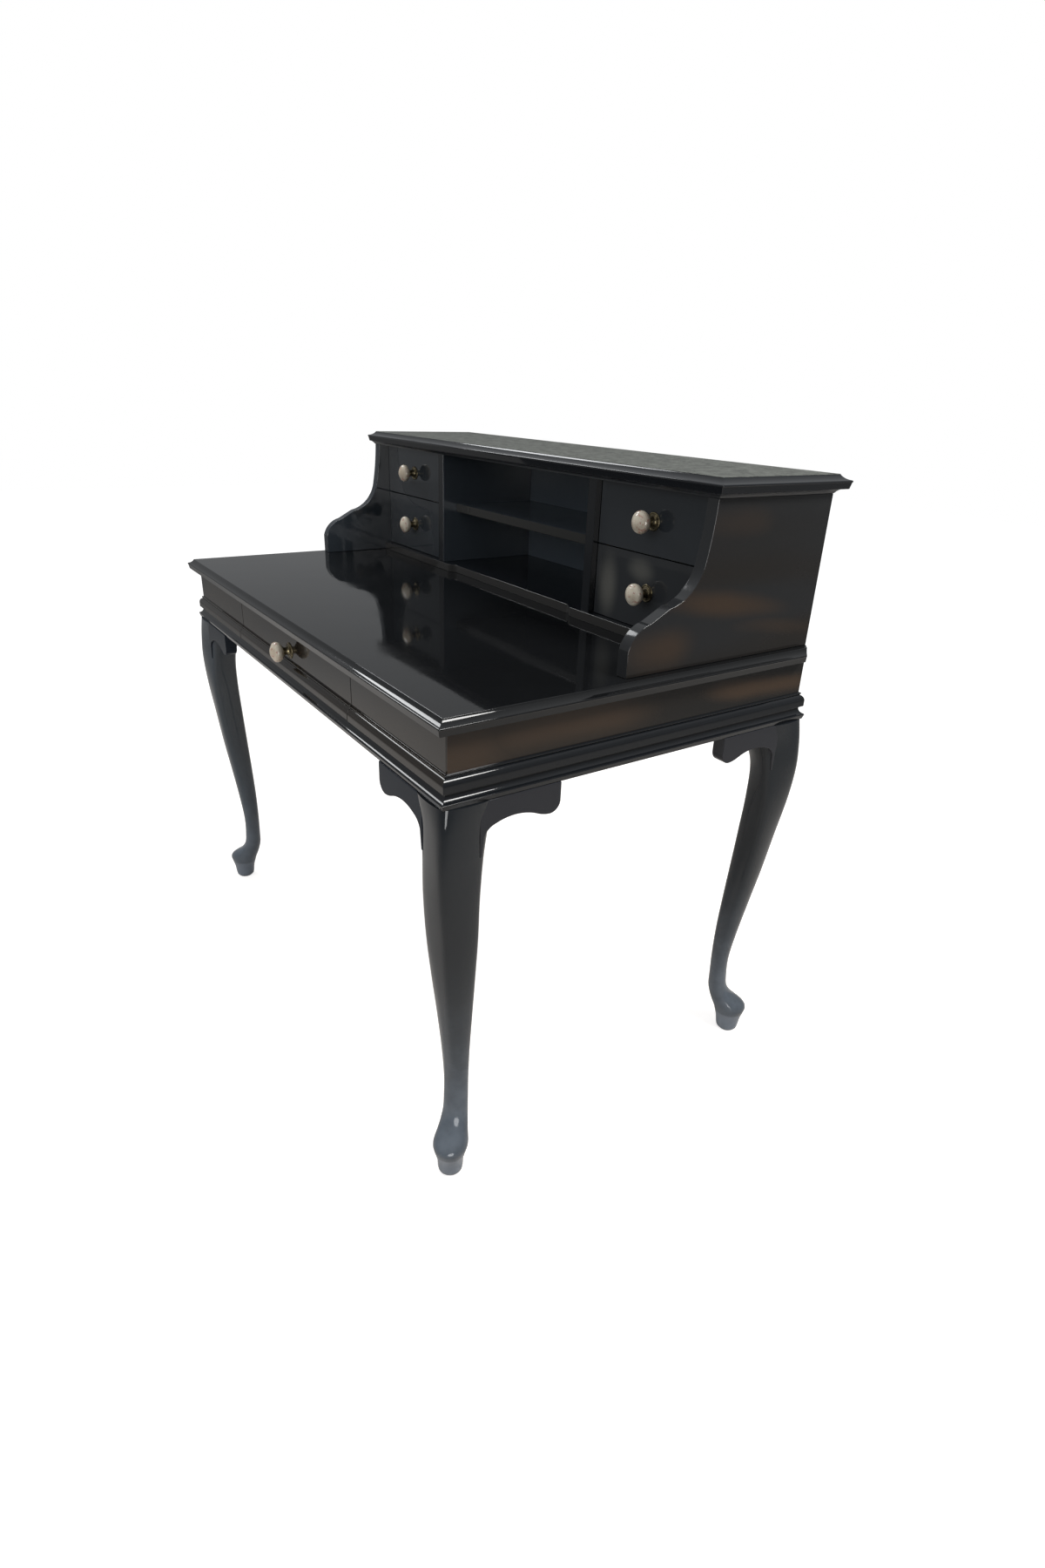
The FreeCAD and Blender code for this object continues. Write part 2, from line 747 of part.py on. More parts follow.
def saveDrawer(name, x0, x1, faceY, backY, z0, z1, thickness, collar, front):
    """Saves the pieces of one drawer; x0 to z1 bound its box, front is its face board."""
    middle = (x0 + x1) / 2
    knobZ = (front.BoundBox.ZMin + front.BoundBox.ZMax) / 2
    boxFront = faceY + thickness
    save(name + "_front", boredFront(front, x0, x1, faceY, z0, knobZ, thickness))
    save(name + "_walls", drawerWalls(x0, x1, boxFront, backY, z0, z1))
    save(name + "_bottom", drawerBottom(x0, x1, boxFront, backY, z0))
    save(name + "_knob", knobHead(middle, faceY - collar, knobZ))
    save(name + "_knob_collar", knobCollar(middle, faceY, knobZ, thickness, collar))


def saveSmallDrawers():
    left = partitionOuter
    right = stageSideInner
    split = stageFloor + lowerDrawerHeight
    levels = [("lower", stageFloor, split), ("upper", split, stageCeiling)]
    backY = stageInnerBack - drawerBackGap
    boxFront = drawerFace + smallFrontThickness
    for level, low, high in levels:
        roof = high - dustBoardThickness if level == "lower" else high
        for side, sign in (("left", -1), ("right", 1)):
            x0 = min(sign * left, sign * right)
            x1 = max(sign * left, sign * right)
            front = box(x0 + frontGap, x1 - frontGap, drawerFace, boxFront, low + frontGap, high - frontGap)
            saveDrawer(level + "_" + side + "_drawer", x0 + sideClearance, x1 - sideClearance, drawerFace,
                       backY, low + runClearance, roof - drawerTopGap, smallFrontThickness,
                       smallCollarLength, front)


def saveWritingDrawer():
    half = writingDrawerHalf - frontGap
    reach = 2 * railReach
    low = railTop + frontGap
    high = deskUnderside - frontGap
    board = box(-half, half, carcaseFront, carcaseFront + writingFrontThickness, low, high)
    bead = frontBead().common(box(-half, half, carcaseFront - reach, innerFront, low, high))
    front = fuse([board, bead])
    boxHalf = writingDrawerHalf - sideClearance
    floor = railTop + runnerTop + runClearance
    backY = carcaseFront + writingFrontThickness + writingDrawerLength
    saveDrawer("writing_drawer", -boxHalf, boxHalf, carcaseFront, backY, floor, high - drawerTopGap,
               writingFrontThickness, collarLength, front)


# ---- output ------------------------------------------------------------------

def saveCarcase():
    save("desk_top", deskTop())
    save("frieze_front_right", friezeFrontRight())
    save("frieze_front_left", mirrorX(friezeFrontRight()))
    save("frieze_side_right", friezeSideRight())
    save("frieze_side_left", mirrorX(friezeSideRight()))
    save("frieze_back", friezeBack())
    for side in ("left", "right", "back"):
        save("bead_" + side, mouldingRun(side, beadSection()))
    for side in ("front", "left", "right", "back"):
        save("base_rail_" + side, mouldingRun(side, railSection()))
    save("drawer_runner_right", drawerRunnerRight())
    save("drawer_runner_left", mirrorX(drawerRunnerRight()))
    save("corner_blocks", cornerBlocks())
    save("wood_screws", woodScrews())


def saveLegs():
    frontLeg = leg(1, -1)
    frontBrackets = [bracketAlong(1, -1, True, frontLeg), bracketAlong(1, -1, False, frontLeg)]
    backLeg = mirrorY(frontLeg, carcaseMiddle)
    backBrackets = [mirrorY(piece, carcaseMiddle) for piece in frontBrackets]
    for end, shape, brackets in (("front", frontLeg, frontBrackets), ("back", backLeg, backBrackets)):
        save("leg_" + end + "_right", shape)
        save("leg_" + end + "_left", mirrorX(shape))
        save("knee_brackets_" + end + "_right", brackets)
        save("knee_brackets_" + end + "_left", [mirrorX(piece) for piece in brackets])


def saveStage():
    save("stage_side_right", stageSideRight())
    save("stage_side_left", mirrorX(stageSideRight()))
    save("stage_top", stageTop())
    save("stage_base", stageBase())
    save("stage_back", stageBackBoard())
    save("partition_right", partitionRight())
    save("partition_left", mirrorX(partitionRight()))
    save("centre_shelf", centreShelf())
    save("dust_board_right", dustBoardRight())
    save("dust_board_left", mirrorX(dustBoardRight()))


saveCarcase()
saveLegs()
saveStage()
saveSmallDrawers()
saveWritingDrawer()
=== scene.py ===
import math

import bmesh
import bpy
from mathutils import Matrix, Vector


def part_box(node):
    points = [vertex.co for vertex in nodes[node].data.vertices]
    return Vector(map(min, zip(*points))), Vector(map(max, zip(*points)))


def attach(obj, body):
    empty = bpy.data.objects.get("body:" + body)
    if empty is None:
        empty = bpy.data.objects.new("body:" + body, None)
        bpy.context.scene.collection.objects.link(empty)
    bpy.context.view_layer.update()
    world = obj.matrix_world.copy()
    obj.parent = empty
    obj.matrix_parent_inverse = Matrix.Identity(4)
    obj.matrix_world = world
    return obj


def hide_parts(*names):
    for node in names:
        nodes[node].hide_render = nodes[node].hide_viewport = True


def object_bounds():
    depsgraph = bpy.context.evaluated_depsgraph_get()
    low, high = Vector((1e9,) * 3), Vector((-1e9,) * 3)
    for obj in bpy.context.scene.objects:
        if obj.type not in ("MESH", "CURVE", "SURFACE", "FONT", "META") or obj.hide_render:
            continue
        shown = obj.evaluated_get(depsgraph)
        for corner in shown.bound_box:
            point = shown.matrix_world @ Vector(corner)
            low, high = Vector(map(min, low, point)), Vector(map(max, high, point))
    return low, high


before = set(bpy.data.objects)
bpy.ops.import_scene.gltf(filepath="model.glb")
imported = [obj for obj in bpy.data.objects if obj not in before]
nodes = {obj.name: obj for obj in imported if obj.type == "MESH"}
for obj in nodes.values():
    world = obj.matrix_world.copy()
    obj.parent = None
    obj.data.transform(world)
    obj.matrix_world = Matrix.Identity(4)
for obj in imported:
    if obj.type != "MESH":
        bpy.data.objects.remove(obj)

mm = 0.001
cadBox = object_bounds()

# Places that the pieces share
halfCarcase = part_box("frieze_side_right")[1].x
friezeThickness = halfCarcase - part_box("frieze_side_right")[0].x
friezeLip = 2.5 * mm  # of the front boards, over the ends of the side boards
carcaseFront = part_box("frieze_side_right")[0].y - friezeLip
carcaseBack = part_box("frieze_back")[1].y
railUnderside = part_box("base_rail_right")[0].z
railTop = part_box("base_rail_right")[1].z
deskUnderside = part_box("desk_top")[0].z
stageDepth = 234 * mm  # of its ends, just under its top
stageFront = carcaseBack - stageDepth
print("frame loaded:", len(nodes), "nodes")


# Helpers for material nodes

def feed(tree, socket, value):
    # links another node's socket, or sets a value; colours are given without their alpha
    if isinstance(value, bpy.types.NodeSocket):
        tree.links.new(value, socket)
    elif socket.type == "RGBA":
        socket.default_value = (*value, 1.0)
    else:
        socket.default_value = value


def addNode(tree, kind, settings=None, **inputs):
    node = tree.nodes.new(kind)
    for key, value in (settings or {}).items():
        setattr(node, key, value)
    for key, value in inputs.items():
        feed(tree, node.inputs[key.replace("_", " ")], value)
    return node


def textureSpace(tree, stretch=(1.0, 1.0, 1.0)):
    place = addNode(tree, "ShaderNodeTexCoord")
    spread = addNode(tree, "ShaderNodeMapping", Vector=place.outputs["Object"], Scale=stretch)
    return spread.outputs["Vector"]


def newMaterial(name):
    material = bpy.data.materials.new(name)
    material.use_nodes = True
    material.node_tree.nodes.clear()
    return material, material.node_tree


def partAlong(tree, vector, axis):
    return addNode(tree, "ShaderNodeSeparateXYZ", Vector=vector).outputs[axis]


def turnedAlong(tree, axis):
    # how far a face is turned along an axis, from -1 to 1
    geometry = addNode(tree, "ShaderNodeNewGeometry")
    return partAlong(tree, geometry.outputs["Normal"], axis)


def noise(tree, space, scale, detail=2.0, roughness=0.5):
    made = addNode(tree, "ShaderNodeTexNoise", Vector=space, Scale=scale, Detail=detail,
                   Roughness=roughness)
    return made.outputs["Fac"]


def remap(tree, value, low, high, newLow=0.0, newHigh=1.0):
    made = addNode(tree, "ShaderNodeMapRange", {"interpolation_type": "SMOOTHSTEP"}, Value=value,
                   From_Min=low, From_Max=high, To_Min=newLow, To_Max=newHigh)
    return made.outputs["Result"]


def blendColours(tree, share, first, second):
    # the node's colours are its inputs 6 and 7, and the blend is its output 2
    made = addNode(tree, "ShaderNodeMix", {"data_type": "RGBA"})
    for index, value in ((0, share), (6, first), (7, second)):
        feed(tree, made.inputs[index], value)
    return made.outputs[2]


def combine(tree, operation, first, second=0.0):
    made = addNode(tree, "ShaderNodeMath", {"operation": operation})
    feed(tree, made.inputs[0], first)
    feed(tree, made.inputs[1], second)
    return made.outputs[0]


def product(tree, first, *others):
    for other in others:
        first = combine(tree, "MULTIPLY", first, other)
    return first


def vectorMath(tree, operation, *values):
    made = addNode(tree, "ShaderNodeVectorMath", {"operation": operation})
    for socket, value in zip(made.inputs, values):
        feed(tree, socket, value)
    return made.outputs["Value" if operation == "LENGTH" else "Vector"]


def patchReach(tree, space, middle, size, turn=(0.0, 0.0, 0.0)):
    # distance from the middle of a soft patch, which is 1 at its edge
    place = addNode(tree, "ShaderNodeMapping", {"vector_type": "TEXTURE"}, Vector=space, Location=middle,
                    Rotation=turn, Scale=size)
    return vectorMath(tree, "LENGTH", place.outputs[0])


def bump(tree, height, distance, under=None):
    made = addNode(tree, "ShaderNodeBump", Height=height, Distance=distance, Strength=1.0)
    if under is not None:
        feed(tree, made.inputs["Normal"], under)
    return made.outputs["Normal"]


def finishMaterial(material, **inputs):
    shader = addNode(material.node_tree, "ShaderNodeBsdfPrincipled", **inputs)
    addNode(material.node_tree, "ShaderNodeOutputMaterial", Surface=shader.outputs["BSDF"])
    return material


# Black lacquer. Texture scales are in features per metre.
lacquerLook = {
    "black": (0.0085, 0.0098, 0.0118),
    "warmth": (0.018, 0.014, 0.0105),  # warm brown: random clouds on the fronts, and on the end faces painted reflection of a warm surround
    "warmReflection": (0.056, 0.035, 0.0215),  # painted reflection: stronger brown patches on the end faces
    "warmBelow": (820 * mm, 980 * mm),  # the painted reflection on the end faces fades out between these heights
    "insideLight": (0.058, 0.07, 0.084),  # painted light: a paler bluish colour on faces inside the open compartment
    "drawerReflection": (0.1, 0.098, 0.089),  # painted reflection: soft pale patches on the lower right drawer
    "dust": (0.2, 0.215, 0.23),
    "cloudScale": 3.4,  # slow changes of colour
    "cloudStretch": (1.0, 0.5, 2.6),
    "hazeScale": 9.0,
    "grainScale": 620.0,  # grains of dust
    "driftScale": 4.5,  # and where they gather
    "peelScale": 260.0,  # orange peel of the sprayed coat
    "peelDepth": 0.01 * mm,
    "waveScale": 7.0,  # slow ripple of the boards
    "waveDepth": 0.35 * mm,
    "smooth": 0.035,  # roughness where the coat is best
    "hazy": 0.1,  # and where it is dullest
    "index": 1.4,
}
legWearAndReflectionLook = {
    "lowDustAndReflection": (0.162, 0.19, 0.226),  # paler and bluer low down on the legs: partly dust and wear, partly painted reflection of the floor
    "paleTop": 510 * mm,
    "wearScale": 30.0,
    "footTopShare": 0.75,  # share of that paleness left on top of the feet, which face up: painted shade
    "footRises": (26 * mm, 44 * mm),  # it eases off between these heights
    "footEnds": (74 * mm, 105 * mm),  # and is whole again above these
    "padReflection": (0.205, 0.235, 0.28),  # painted reflection of the floor: paler still on the pad under each foot
    "padCover": 0.85,
    "padEnds": (37 * mm, 44 * mm),
    "haze": 0.05,
}
patchLook = {
    "wander": 5.0,  # how often the outline of a patch wanders, per metre
    "sideWobble": (0.0, 0.22, 0.035),  # and how far, in metres
    "frontWobble": (0.015, 0.0, 0.015),
}

# Soft patches of painted reflection: place along the face and height, half the length and half the height,
# tilt, strength.
# On the end faces they are in metres.
endReflectionPatches = [
    (0.12, 0.846, 0.15, 0.022, -0.1, 0.75),
    (-0.01, 0.79, 0.075, 0.034, 0.0, 0.65),
    (0.125, 0.955, 0.06, 0.022, 0.0, 0.25),
    (0.24, 0.802, 0.09, 0.016, -0.1, 0.35),
    (0.235, 0.707, 0.115, 0.019, -0.1, 1.0),
    (-0.13, 0.711, 0.15, 0.03, -0.06, 0.8),
    (-0.3, 0.7, 0.12, 0.06, 0.0, 0.75),
]
# On the lower right drawer they are shares of its front: one near the inner end and one above the knob.
drawerReflectionPatches = [
    (0.12, 0.45, 0.1, 0.46, 0.0, 1.0),
    (0.42, 0.78, 0.13, 0.18, 0.0, 0.8),
]


def drawerPatches():
    low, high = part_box("lower_right_drawer_front")
    wide, tall = high.x - low.x, high.z - low.z
    return [(low.x + x * wide, low.z + z * tall, length * wide, height * tall, tilt, strength)
            for x, z, length, height, tilt, strength in drawerReflectionPatches]


def patchCover(tree, space, patches, facing, wobble):
    # soft uneven patches on faces turned along one axis, the strongest one counting at each place
    wander = addNode(tree, "ShaderNodeTexNoise", Vector=space, Scale=patchLook["wander"], Detail=1.0)
    offset = vectorMath(tree, "SUBTRACT", wander.outputs["Color"], (0.5, 0.5, 0.5))
    spread = vectorMath(tree, "MULTIPLY_ADD", offset, wobble, space)
    cover = 0.0
    for along, z, length, height, tilt, strength in patches:
        middle, size, turn = [along, z], [length, height], [0.0, 0.0, 0.0]
        middle.insert(facing, 0.0)
        size.insert(facing, 1e6)  # no end along the axis that the face is turned to
        turn[facing] = tilt
        reach = patchReach(tree, spread, middle, size, turn)
        cover = combine(tree, "MAXIMUM", cover, remap(tree, reach, 0.15, 1.25, strength, 0.0))
    return cover


def endFaceReflection(tree, space, colour, tint):
    # painted reflection of a warm surround: brown on the end faces only, fading upwards, and strongest in
    # the patches
    look = lacquerLook
    sideways = remap(tree, combine(tree, "ABSOLUTE", turnedAlong(tree, "X")), 0.6, 0.9)
    fading = remap(tree, partAlong(tree, space, "Z"), *look["warmBelow"], 1.0, 0.15)
    warmReflection = patchCover(tree, space, endReflectionPatches, 0, patchLook["sideWobble"])
    colour = blendColours(tree, product(tree, tint, sideways, fading), colour, look["warmth"])
    return blendColours(tree, product(tree, warmReflection, sideways), colour, look["warmReflection"])


def paintedLightWithin(tree, space, colour, reach):
    # painted light: paler nearer the middle than this reach, apart from the faces turned to the front
    covered = remap(tree, turnedAlong(tree, "Y"), -0.8, -0.3)
    outwards = combine(tree, "ABSOLUTE", partAlong(tree, space, "X"))
    within = combine(tree, "LESS_THAN", outwards, reach)
    return blendColours(tree, product(tree, covered, within), colour, lacquerLook["insideLight"])


def dusted(tree, space, colour, haze, dustiness):
    look = lacquerLook
    upwards = remap(tree, turnedAlong(tree, "Z"), 0.75, 0.98)
    grains = remap(tree, noise(tree, space, look["grainScale"], 2.0, 0.6), 0.5, 0.78)
    drifts = remap(tree, noise(tree, space, look["driftScale"], 5.0, 0.6), 0.3, 0.72, 0.25, 1.0)
    cover = product(tree, grains, drifts, upwards, dustiness)
    haze = combine(tree, "ADD", haze, product(tree, cover, 0.5))
    return blendColours(tree, cover, colour, look["dust"]), haze


def paleTowardsFloor(tree, space, colour, haze, share):
    # paleness that grows towards the floor, partly dust and wear and partly painted reflection of the
    # floor, with painted shade on top of the feet and painted reflection of the floor on their pads
    look = legWearAndReflectionLook
    height = partAlong(tree, space, "Z")
    low = remap(tree, height, 0.0, look["paleTop"], 1.0, 0.0)
    worn = remap(tree, noise(tree, space, look["wearScale"], 4.0, 0.55), 0.3, 0.7, 0.72, 1.0)
    below = remap(tree, height, *look["footRises"], 1.0, look["footTopShare"])
    above = remap(tree, height, *look["footEnds"], look["footTopShare"], 1.0)
    rubbed = product(tree, low, low, worn, combine(tree, "MAXIMUM", below, above), share)
    colour = blendColours(tree, rubbed, colour, look["lowDustAndReflection"])
    pad = remap(tree, height, *look["padEnds"], look["padCover"], 0.0)
    colour = blendColours(tree, product(tree, pad, worn), colour, look["padReflection"])
    return colour, combine(tree, "ADD", haze, product(tree, rubbed, look["haze"]))


def blackLacquer(name, base=None, dustiness=0.0, dull=0.0, warm=0.0, paleLow=0.0, inside=0.0, sides=False,
                 drawerReflected=False, litFront=None, index=None):
    look = lacquerLook
    material, tree = newMaterial(name)
    space = textureSpace(tree)
    clouds = noise(tree, textureSpace(tree, look["cloudStretch"]), look["cloudScale"], 1.5)
    tint = remap(tree, clouds, 0.36, 0.66, 0.1 * warm, warm)
    colour = base or look["black"]
    # painted reflection of a warm surround, on the faces turned along X
    if sides:
        colour = endFaceReflection(tree, space, colour, tint)
    else:
        colour = blendColours(tree, tint, colour, look["warmth"])
    # painted reflection: soft pale patches on the lower right drawer
    if drawerReflected:
        drawerReflection = patchCover(tree, space, drawerPatches(), 1, patchLook["frontWobble"])
        colour = blendColours(tree, drawerReflection, colour, look["drawerReflection"])
    # painted light on the faces inside the compartment
    if inside:
        colour = paintedLightWithin(tree, space, colour, inside)
    # painted light: a paler colour on the faces turned to the front
    if litFront:
        facingFront = remap(tree, turnedAlong(tree, "Y"), -0.9, -0.6, 1.0, 0.0)
        colour = blendColours(tree, facingFront, colour, litFront)
    haze = remap(tree, noise(tree, space, look["hazeScale"], 4.0), 0.35, 0.75,
                 look["smooth"] + dull, look["hazy"] + dull)
    if dustiness:
        colour, haze = dusted(tree, space, colour, haze, dustiness)
    # paler and bluer towards the floor: partly dust and wear, partly painted reflection of the floor
    if paleLow:
        colour, haze = paleTowardsFloor(tree, space, colour, haze, paleLow)
    wave = bump(tree, noise(tree, space, look["waveScale"], 1.0), look["waveDepth"])
    peel = bump(tree, noise(tree, space, look["peelScale"], 1.0), look["peelDepth"], under=wave)
    return finishMaterial(material, Base_Color=colour, Roughness=haze, Normal=peel,
                          IOR=index or look["index"])


# Lacquer under dust, for the top of the stage
dustyTopLook = {
    "cove": (0.019, 0.021, 0.024),
    "pale": (0.127, 0.134, 0.121),
    "grey": (0.052, 0.055, 0.05),
    "grainScale": 260.0,  # grains of dust, per metre
    "grainDepth": 0.3 * mm,
    "clumpScale": 70.0,
    "waveScale": 9.0,
    "waveDepth": 0.5 * mm,
    "smudge": (-480 * mm, 140 * mm),  # a rubbed place near the left end
    "smudgeSize": (30 * mm, 48 * mm),
    "gloss": 0.06,  # roughness where no dust lies
    "dull": 0.33,  # and of the cove
    "dustyDull": 0.8,  # and of the dust
    "coveDrop": 20.3 * mm,  # the cove starts this far below the flat
    "coveFade": 0.4 * mm,
    "lyingWithin": 0.9 * mm,  # the dust lies on the flat, down to this far below it
    "index": 1.42,
}


def dustyLacquer(name, surface):
    look = dustyTopLook
    material, tree = newMaterial(name)
    space = textureSpace(tree)
    grains = noise(tree, space, look["grainScale"], 3.0, 0.8)
    clumps = noise(tree, space, look["clumpScale"], 3.0, 0.6)
    layer = combine(tree, "ADD", product(tree, grains, 0.5), product(tree, clumps, 0.5))
    height = partAlong(tree, space, "Z")
    lying = remap(tree, height, surface - look["lyingWithin"], surface - 0.1 * mm)
    reach = patchReach(tree, space, (*look["smudge"], surface), (*look["smudgeSize"], 1.0))
    rubbed = remap(tree, reach, 0.2, 1.0, 0.45, 1.0)
    cover = product(tree, remap(tree, layer, 0.26, 0.44), lying, rubbed)
    dust = blendColours(tree, remap(tree, layer, 0.38, 0.6), look["grey"], look["pale"])
    coveTop = surface - look["coveDrop"]
    edging = remap(tree, height, coveTop - look["coveFade"], coveTop)
    colour = blendColours(tree, cover, blendColours(tree, edging, look["cove"], lacquerLook["black"]), dust)
    bare = remap(tree, edging, 0.0, 1.0, look["dull"], look["gloss"])
    rough = combine(tree, "MAXIMUM", bare, product(tree, cover, look["dustyDull"]))
    wave = bump(tree, noise(tree, space, look["waveScale"], 2.0), look["waveDepth"])
    relief = bump(tree, product(tree, grains, lying), look["grainDepth"], under=wave)
    return finishMaterial(material, Base_Color=colour, Roughness=rough, Normal=relief, IOR=look["index"])


# Bare wood of the drawers, runners and blocks
woodLook = {
    "pale": (0.5, 0.345, 0.205),
    "dark": (0.315, 0.19, 0.1),
    "pore": (0.17, 0.095, 0.048),
    "ringScale": 26.0,
    "ringStretch": 0.1,  # along the grain
    "poreScale": 620.0,
    "poreStretch": 0.045,
    "poreDepth": 0.08 * mm,
    "index": 1.45,
}


def plainWood(name, along):
    look = woodLook
    material, tree = newMaterial(name)
    coarse, fine = [1.0, 1.0, 1.0], [1.0, 1.0, 1.0]
    coarse[along] = look["ringStretch"]
    fine[along] = look["poreStretch"]
    rings = noise(tree, textureSpace(tree, coarse), look["ringScale"], 5.0, 0.6)
    pores = noise(tree, textureSpace(tree, fine), look["poreScale"], 2.0, 0.6)
    colour = blendColours(tree, remap(tree, rings, 0.33, 0.68), look["pale"], look["dark"])
    colour = blendColours(tree, remap(tree, pores, 0.58, 0.75, 0.0, 0.65), colour, look["pore"])
    rough = remap(tree, pores, 0.3, 0.8, 0.48, 0.7)
    relief = bump(tree, pores, look["poreDepth"])
    return finishMaterial(material, Base_Color=colour, Roughness=rough, Normal=relief, IOR=look["index"])


# Glazed knobs
porcelainLook = {
    "glaze": (0.68, 0.61, 0.49),
    "stain": (0.52, 0.42, 0.31),
    "blush": (0.42, 0.17, 0.13),  # faint worn tint of the old decoration
    "craze": (0.4, 0.32, 0.24),
    "stainScale": 55.0,
    "blushScale": 150.0,
    "crazeScale": 260.0,
    "unevenness": 0.25 * mm,
    "index": 1.52,
}


def porcelain(name):
    look = porcelainLook
    material, tree = newMaterial(name)
    space = textureSpace(tree)
    cloud = noise(tree, space, look["stainScale"], 3.0)
    colour = blendColours(tree, remap(tree, cloud, 0.42, 0.75, 0.0, 0.8), look["glaze"], look["stain"])
    flecks = noise(tree, space, look["blushScale"], 3.0, 0.6)
    colour = blendColours(tree, remap(tree, flecks, 0.55, 0.64, 0.0, 0.7), colour, look["blush"])
    cells = addNode(tree, "ShaderNodeTexVoronoi", {"feature": "DISTANCE_TO_EDGE"}, Vector=space,
                    Scale=look["crazeScale"])
    cracks = remap(tree, cells.outputs["Distance"], 0.0, 0.035, 0.35, 0.0)
    colour = blendColours(tree, cracks, colour, look["craze"])
    rough = remap(tree, cloud, 0.3, 0.8, 0.1, 0.24)
    relief = bump(tree, cloud, look["unevenness"])
    return finishMaterial(material, Base_Color=colour, Roughness=rough, Normal=relief, IOR=look["index"])


# Collars, studs and nuts
brassLook = {
    "metal": (0.29, 0.24, 0.14),
    "tarnish": (0.075, 0.064, 0.043),
    "blotchScale": 160.0,
    "pitScale": 900.0,
    "pitDepth": 0.03 * mm,
}


def agedBrass(name):
    look = brassLook
    material, tree = newMaterial(name)
    space = textureSpace(tree)
    blotches = noise(tree, space, look["blotchScale"], 4.0, 0.6)
    colour = blendColours(tree, remap(tree, blotches, 0.4, 0.66), look["tarnish"], look["metal"])
    rough = remap(tree, blotches, 0.35, 0.7, 0.52, 0.3)
    relief = bump(tree, noise(tree, space, look["pitScale"], 2.0), look["pitDepth"])
    return finishMaterial(material, Base_Color=colour, Roughness=rough, Metallic=1.0, Normal=relief)


# Wood screws
steelLook = {
    "metal": (0.36, 0.35, 0.33),
    "grime": (0.12, 0.1, 0.08),
    "grimeScale": 420.0,
    "grimeDepth": 0.03 * mm,
}


def dullSteel(name):
    look = steelLook
    material, tree = newMaterial(name)
    space = textureSpace(tree)
    patches = noise(tree, space, look["grimeScale"], 3.0, 0.6)
    colour = blendColours(tree, remap(tree, patches, 0.42, 0.7), look["metal"], look["grime"])
    rough = remap(tree, patches, 0.3, 0.8, 0.3, 0.55)
    relief = bump(tree, patches, look["grimeDepth"])
    return finishMaterial(material, Base_Color=colour, Roughness=rough, Metallic=1.0, Normal=relief)


# The coat on each board, as blackLacquer takes it
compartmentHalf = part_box("partition_right")[0].x + 1 * mm  # just past the faces of the partitions
coatLook = {
    "gloss": {},
    "front": {"warm": 1.0},
    # painted shade: a darker copy of the black, for the top, which gets the most light
    "desk_top": {"base": (0.006, 0.0064, 0.007), "dustiness": 0.06},
    # painted reflection of a warm surround on the end faces
    "frieze_sides": {"base": (0.0105, 0.0103, 0.01), "dull": 0.04, "warm": 1.0, "sides": True},
    # paler low down: partly dust and wear, partly painted reflection of the floor
    "legs": {"base": (0.0135, 0.0165, 0.02), "dull": 0.01, "paleLow": 0.95},
    # a paler copy of the leg coat, on the front left leg
    "paler_leg": {"base": (0.049, 0.059, 0.07), "dull": 0.01, "paleLow": 0.95},
    # painted shade: a dark bluish copy, with a low index, on the brackets across the front and back
    "brackets_across": {"base": (0.015, 0.02, 0.028), "index": 1.15},
    # painted light: a paler base on the brackets along the sides
    "brackets_lengthwise": {"base": (0.03, 0.031, 0.036), "index": 1.28},
    # painted light: a paler bluish base for the lit inner face of the left end
    "left_side": {"base": (0.026, 0.0315, 0.038)},
    # painted reflection of a warm surround on the end faces
    "right_side": {"base": (0.019, 0.02, 0.0215), "dull": 0.04, "warm": 1.0, "sides": True},
    # painted light on the front face of the stage floor board
    "stage_floor": {"litFront": (0.03, 0.0287, 0.0275)},
    # painted light inside the compartment, on the partitions and shelf
    "partitions": {"dull": 0.12, "inside": compartmentHalf},
    "shelf": {"base": (0.022, 0.022, 0.0205), "dull": 0.12, "inside": compartmentHalf},
    # painted light: a paler bluish base for the back and dust boards of the compartment
    "inside": {"base": (0.05, 0.061, 0.074), "dull": 0.25},
    "drawers": {"base": (0.0255, 0.0295, 0.034)},
    # the painted reflection patches of the lower right drawer
    "lower_right_drawer": {"base": (0.026, 0.028, 0.0305), "drawerReflected": True},
}
coats = {name: blackLacquer("black_lacquer_" + name, **settings) for name, settings in coatLook.items()}
dustyTop = dustyLacquer("dusty_black_lacquer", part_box("stage_top")[1].z)
woodAlongX = plainWood("plain_wood_across", 0)
woodAlongY = plainWood("plain_wood_lengthwise", 1)
glazed = porcelain("ivory_porcelain")
brass = agedBrass("aged_brass")
steel = dullSteel("dull_steel")
print("finishes made:", len(bpy.data.materials))


# Helpers for meshes: an outline is drawn with lines and arcs, and a loft joins its copies into a piece
edgeAngle = 38.0  # faces that meet more sharply than this have an edge between them, in degrees
closeBy = 1e-6  # points nearer than this are one point, in metres
cornerGap = 1e-5  # the same where a kept board is welded before its edges are rounded


def arcThrough(start, middle, end, count):
    # the points after start on the circle through all three
    ax, ay = start
    bx, by = middle
    cx, cy = end
    double = 2 * (ax * (by - cy) + bx * (cy - ay) + cx * (ay - by))
    aa, bb, cc = ax * ax + ay * ay, bx * bx + by * by, cx * cx + cy * cy
    ux = (aa * (by - cy) + bb * (cy - ay) + cc * (ay - by)) / double
    uy = (aa * (cx - bx) + bb * (ax - cx) + cc * (bx - ax)) / double
    radius = math.hypot(ax - ux, ay - uy)
    first = math.atan2(ay - uy, ax - ux)
    via = (math.atan2(by - uy, bx - ux) - first) % (2 * math.pi)
    turn = (math.atan2(cy - uy, cx - ux) - first) % (2 * math.pi)
    if via > turn:
        turn -= 2 * math.pi
    angles = [first + turn * step / count for step in range(1, count + 1)]
    return [(ux + radius * math.cos(angle), uy + radius * math.sin(angle)) for angle in angles]


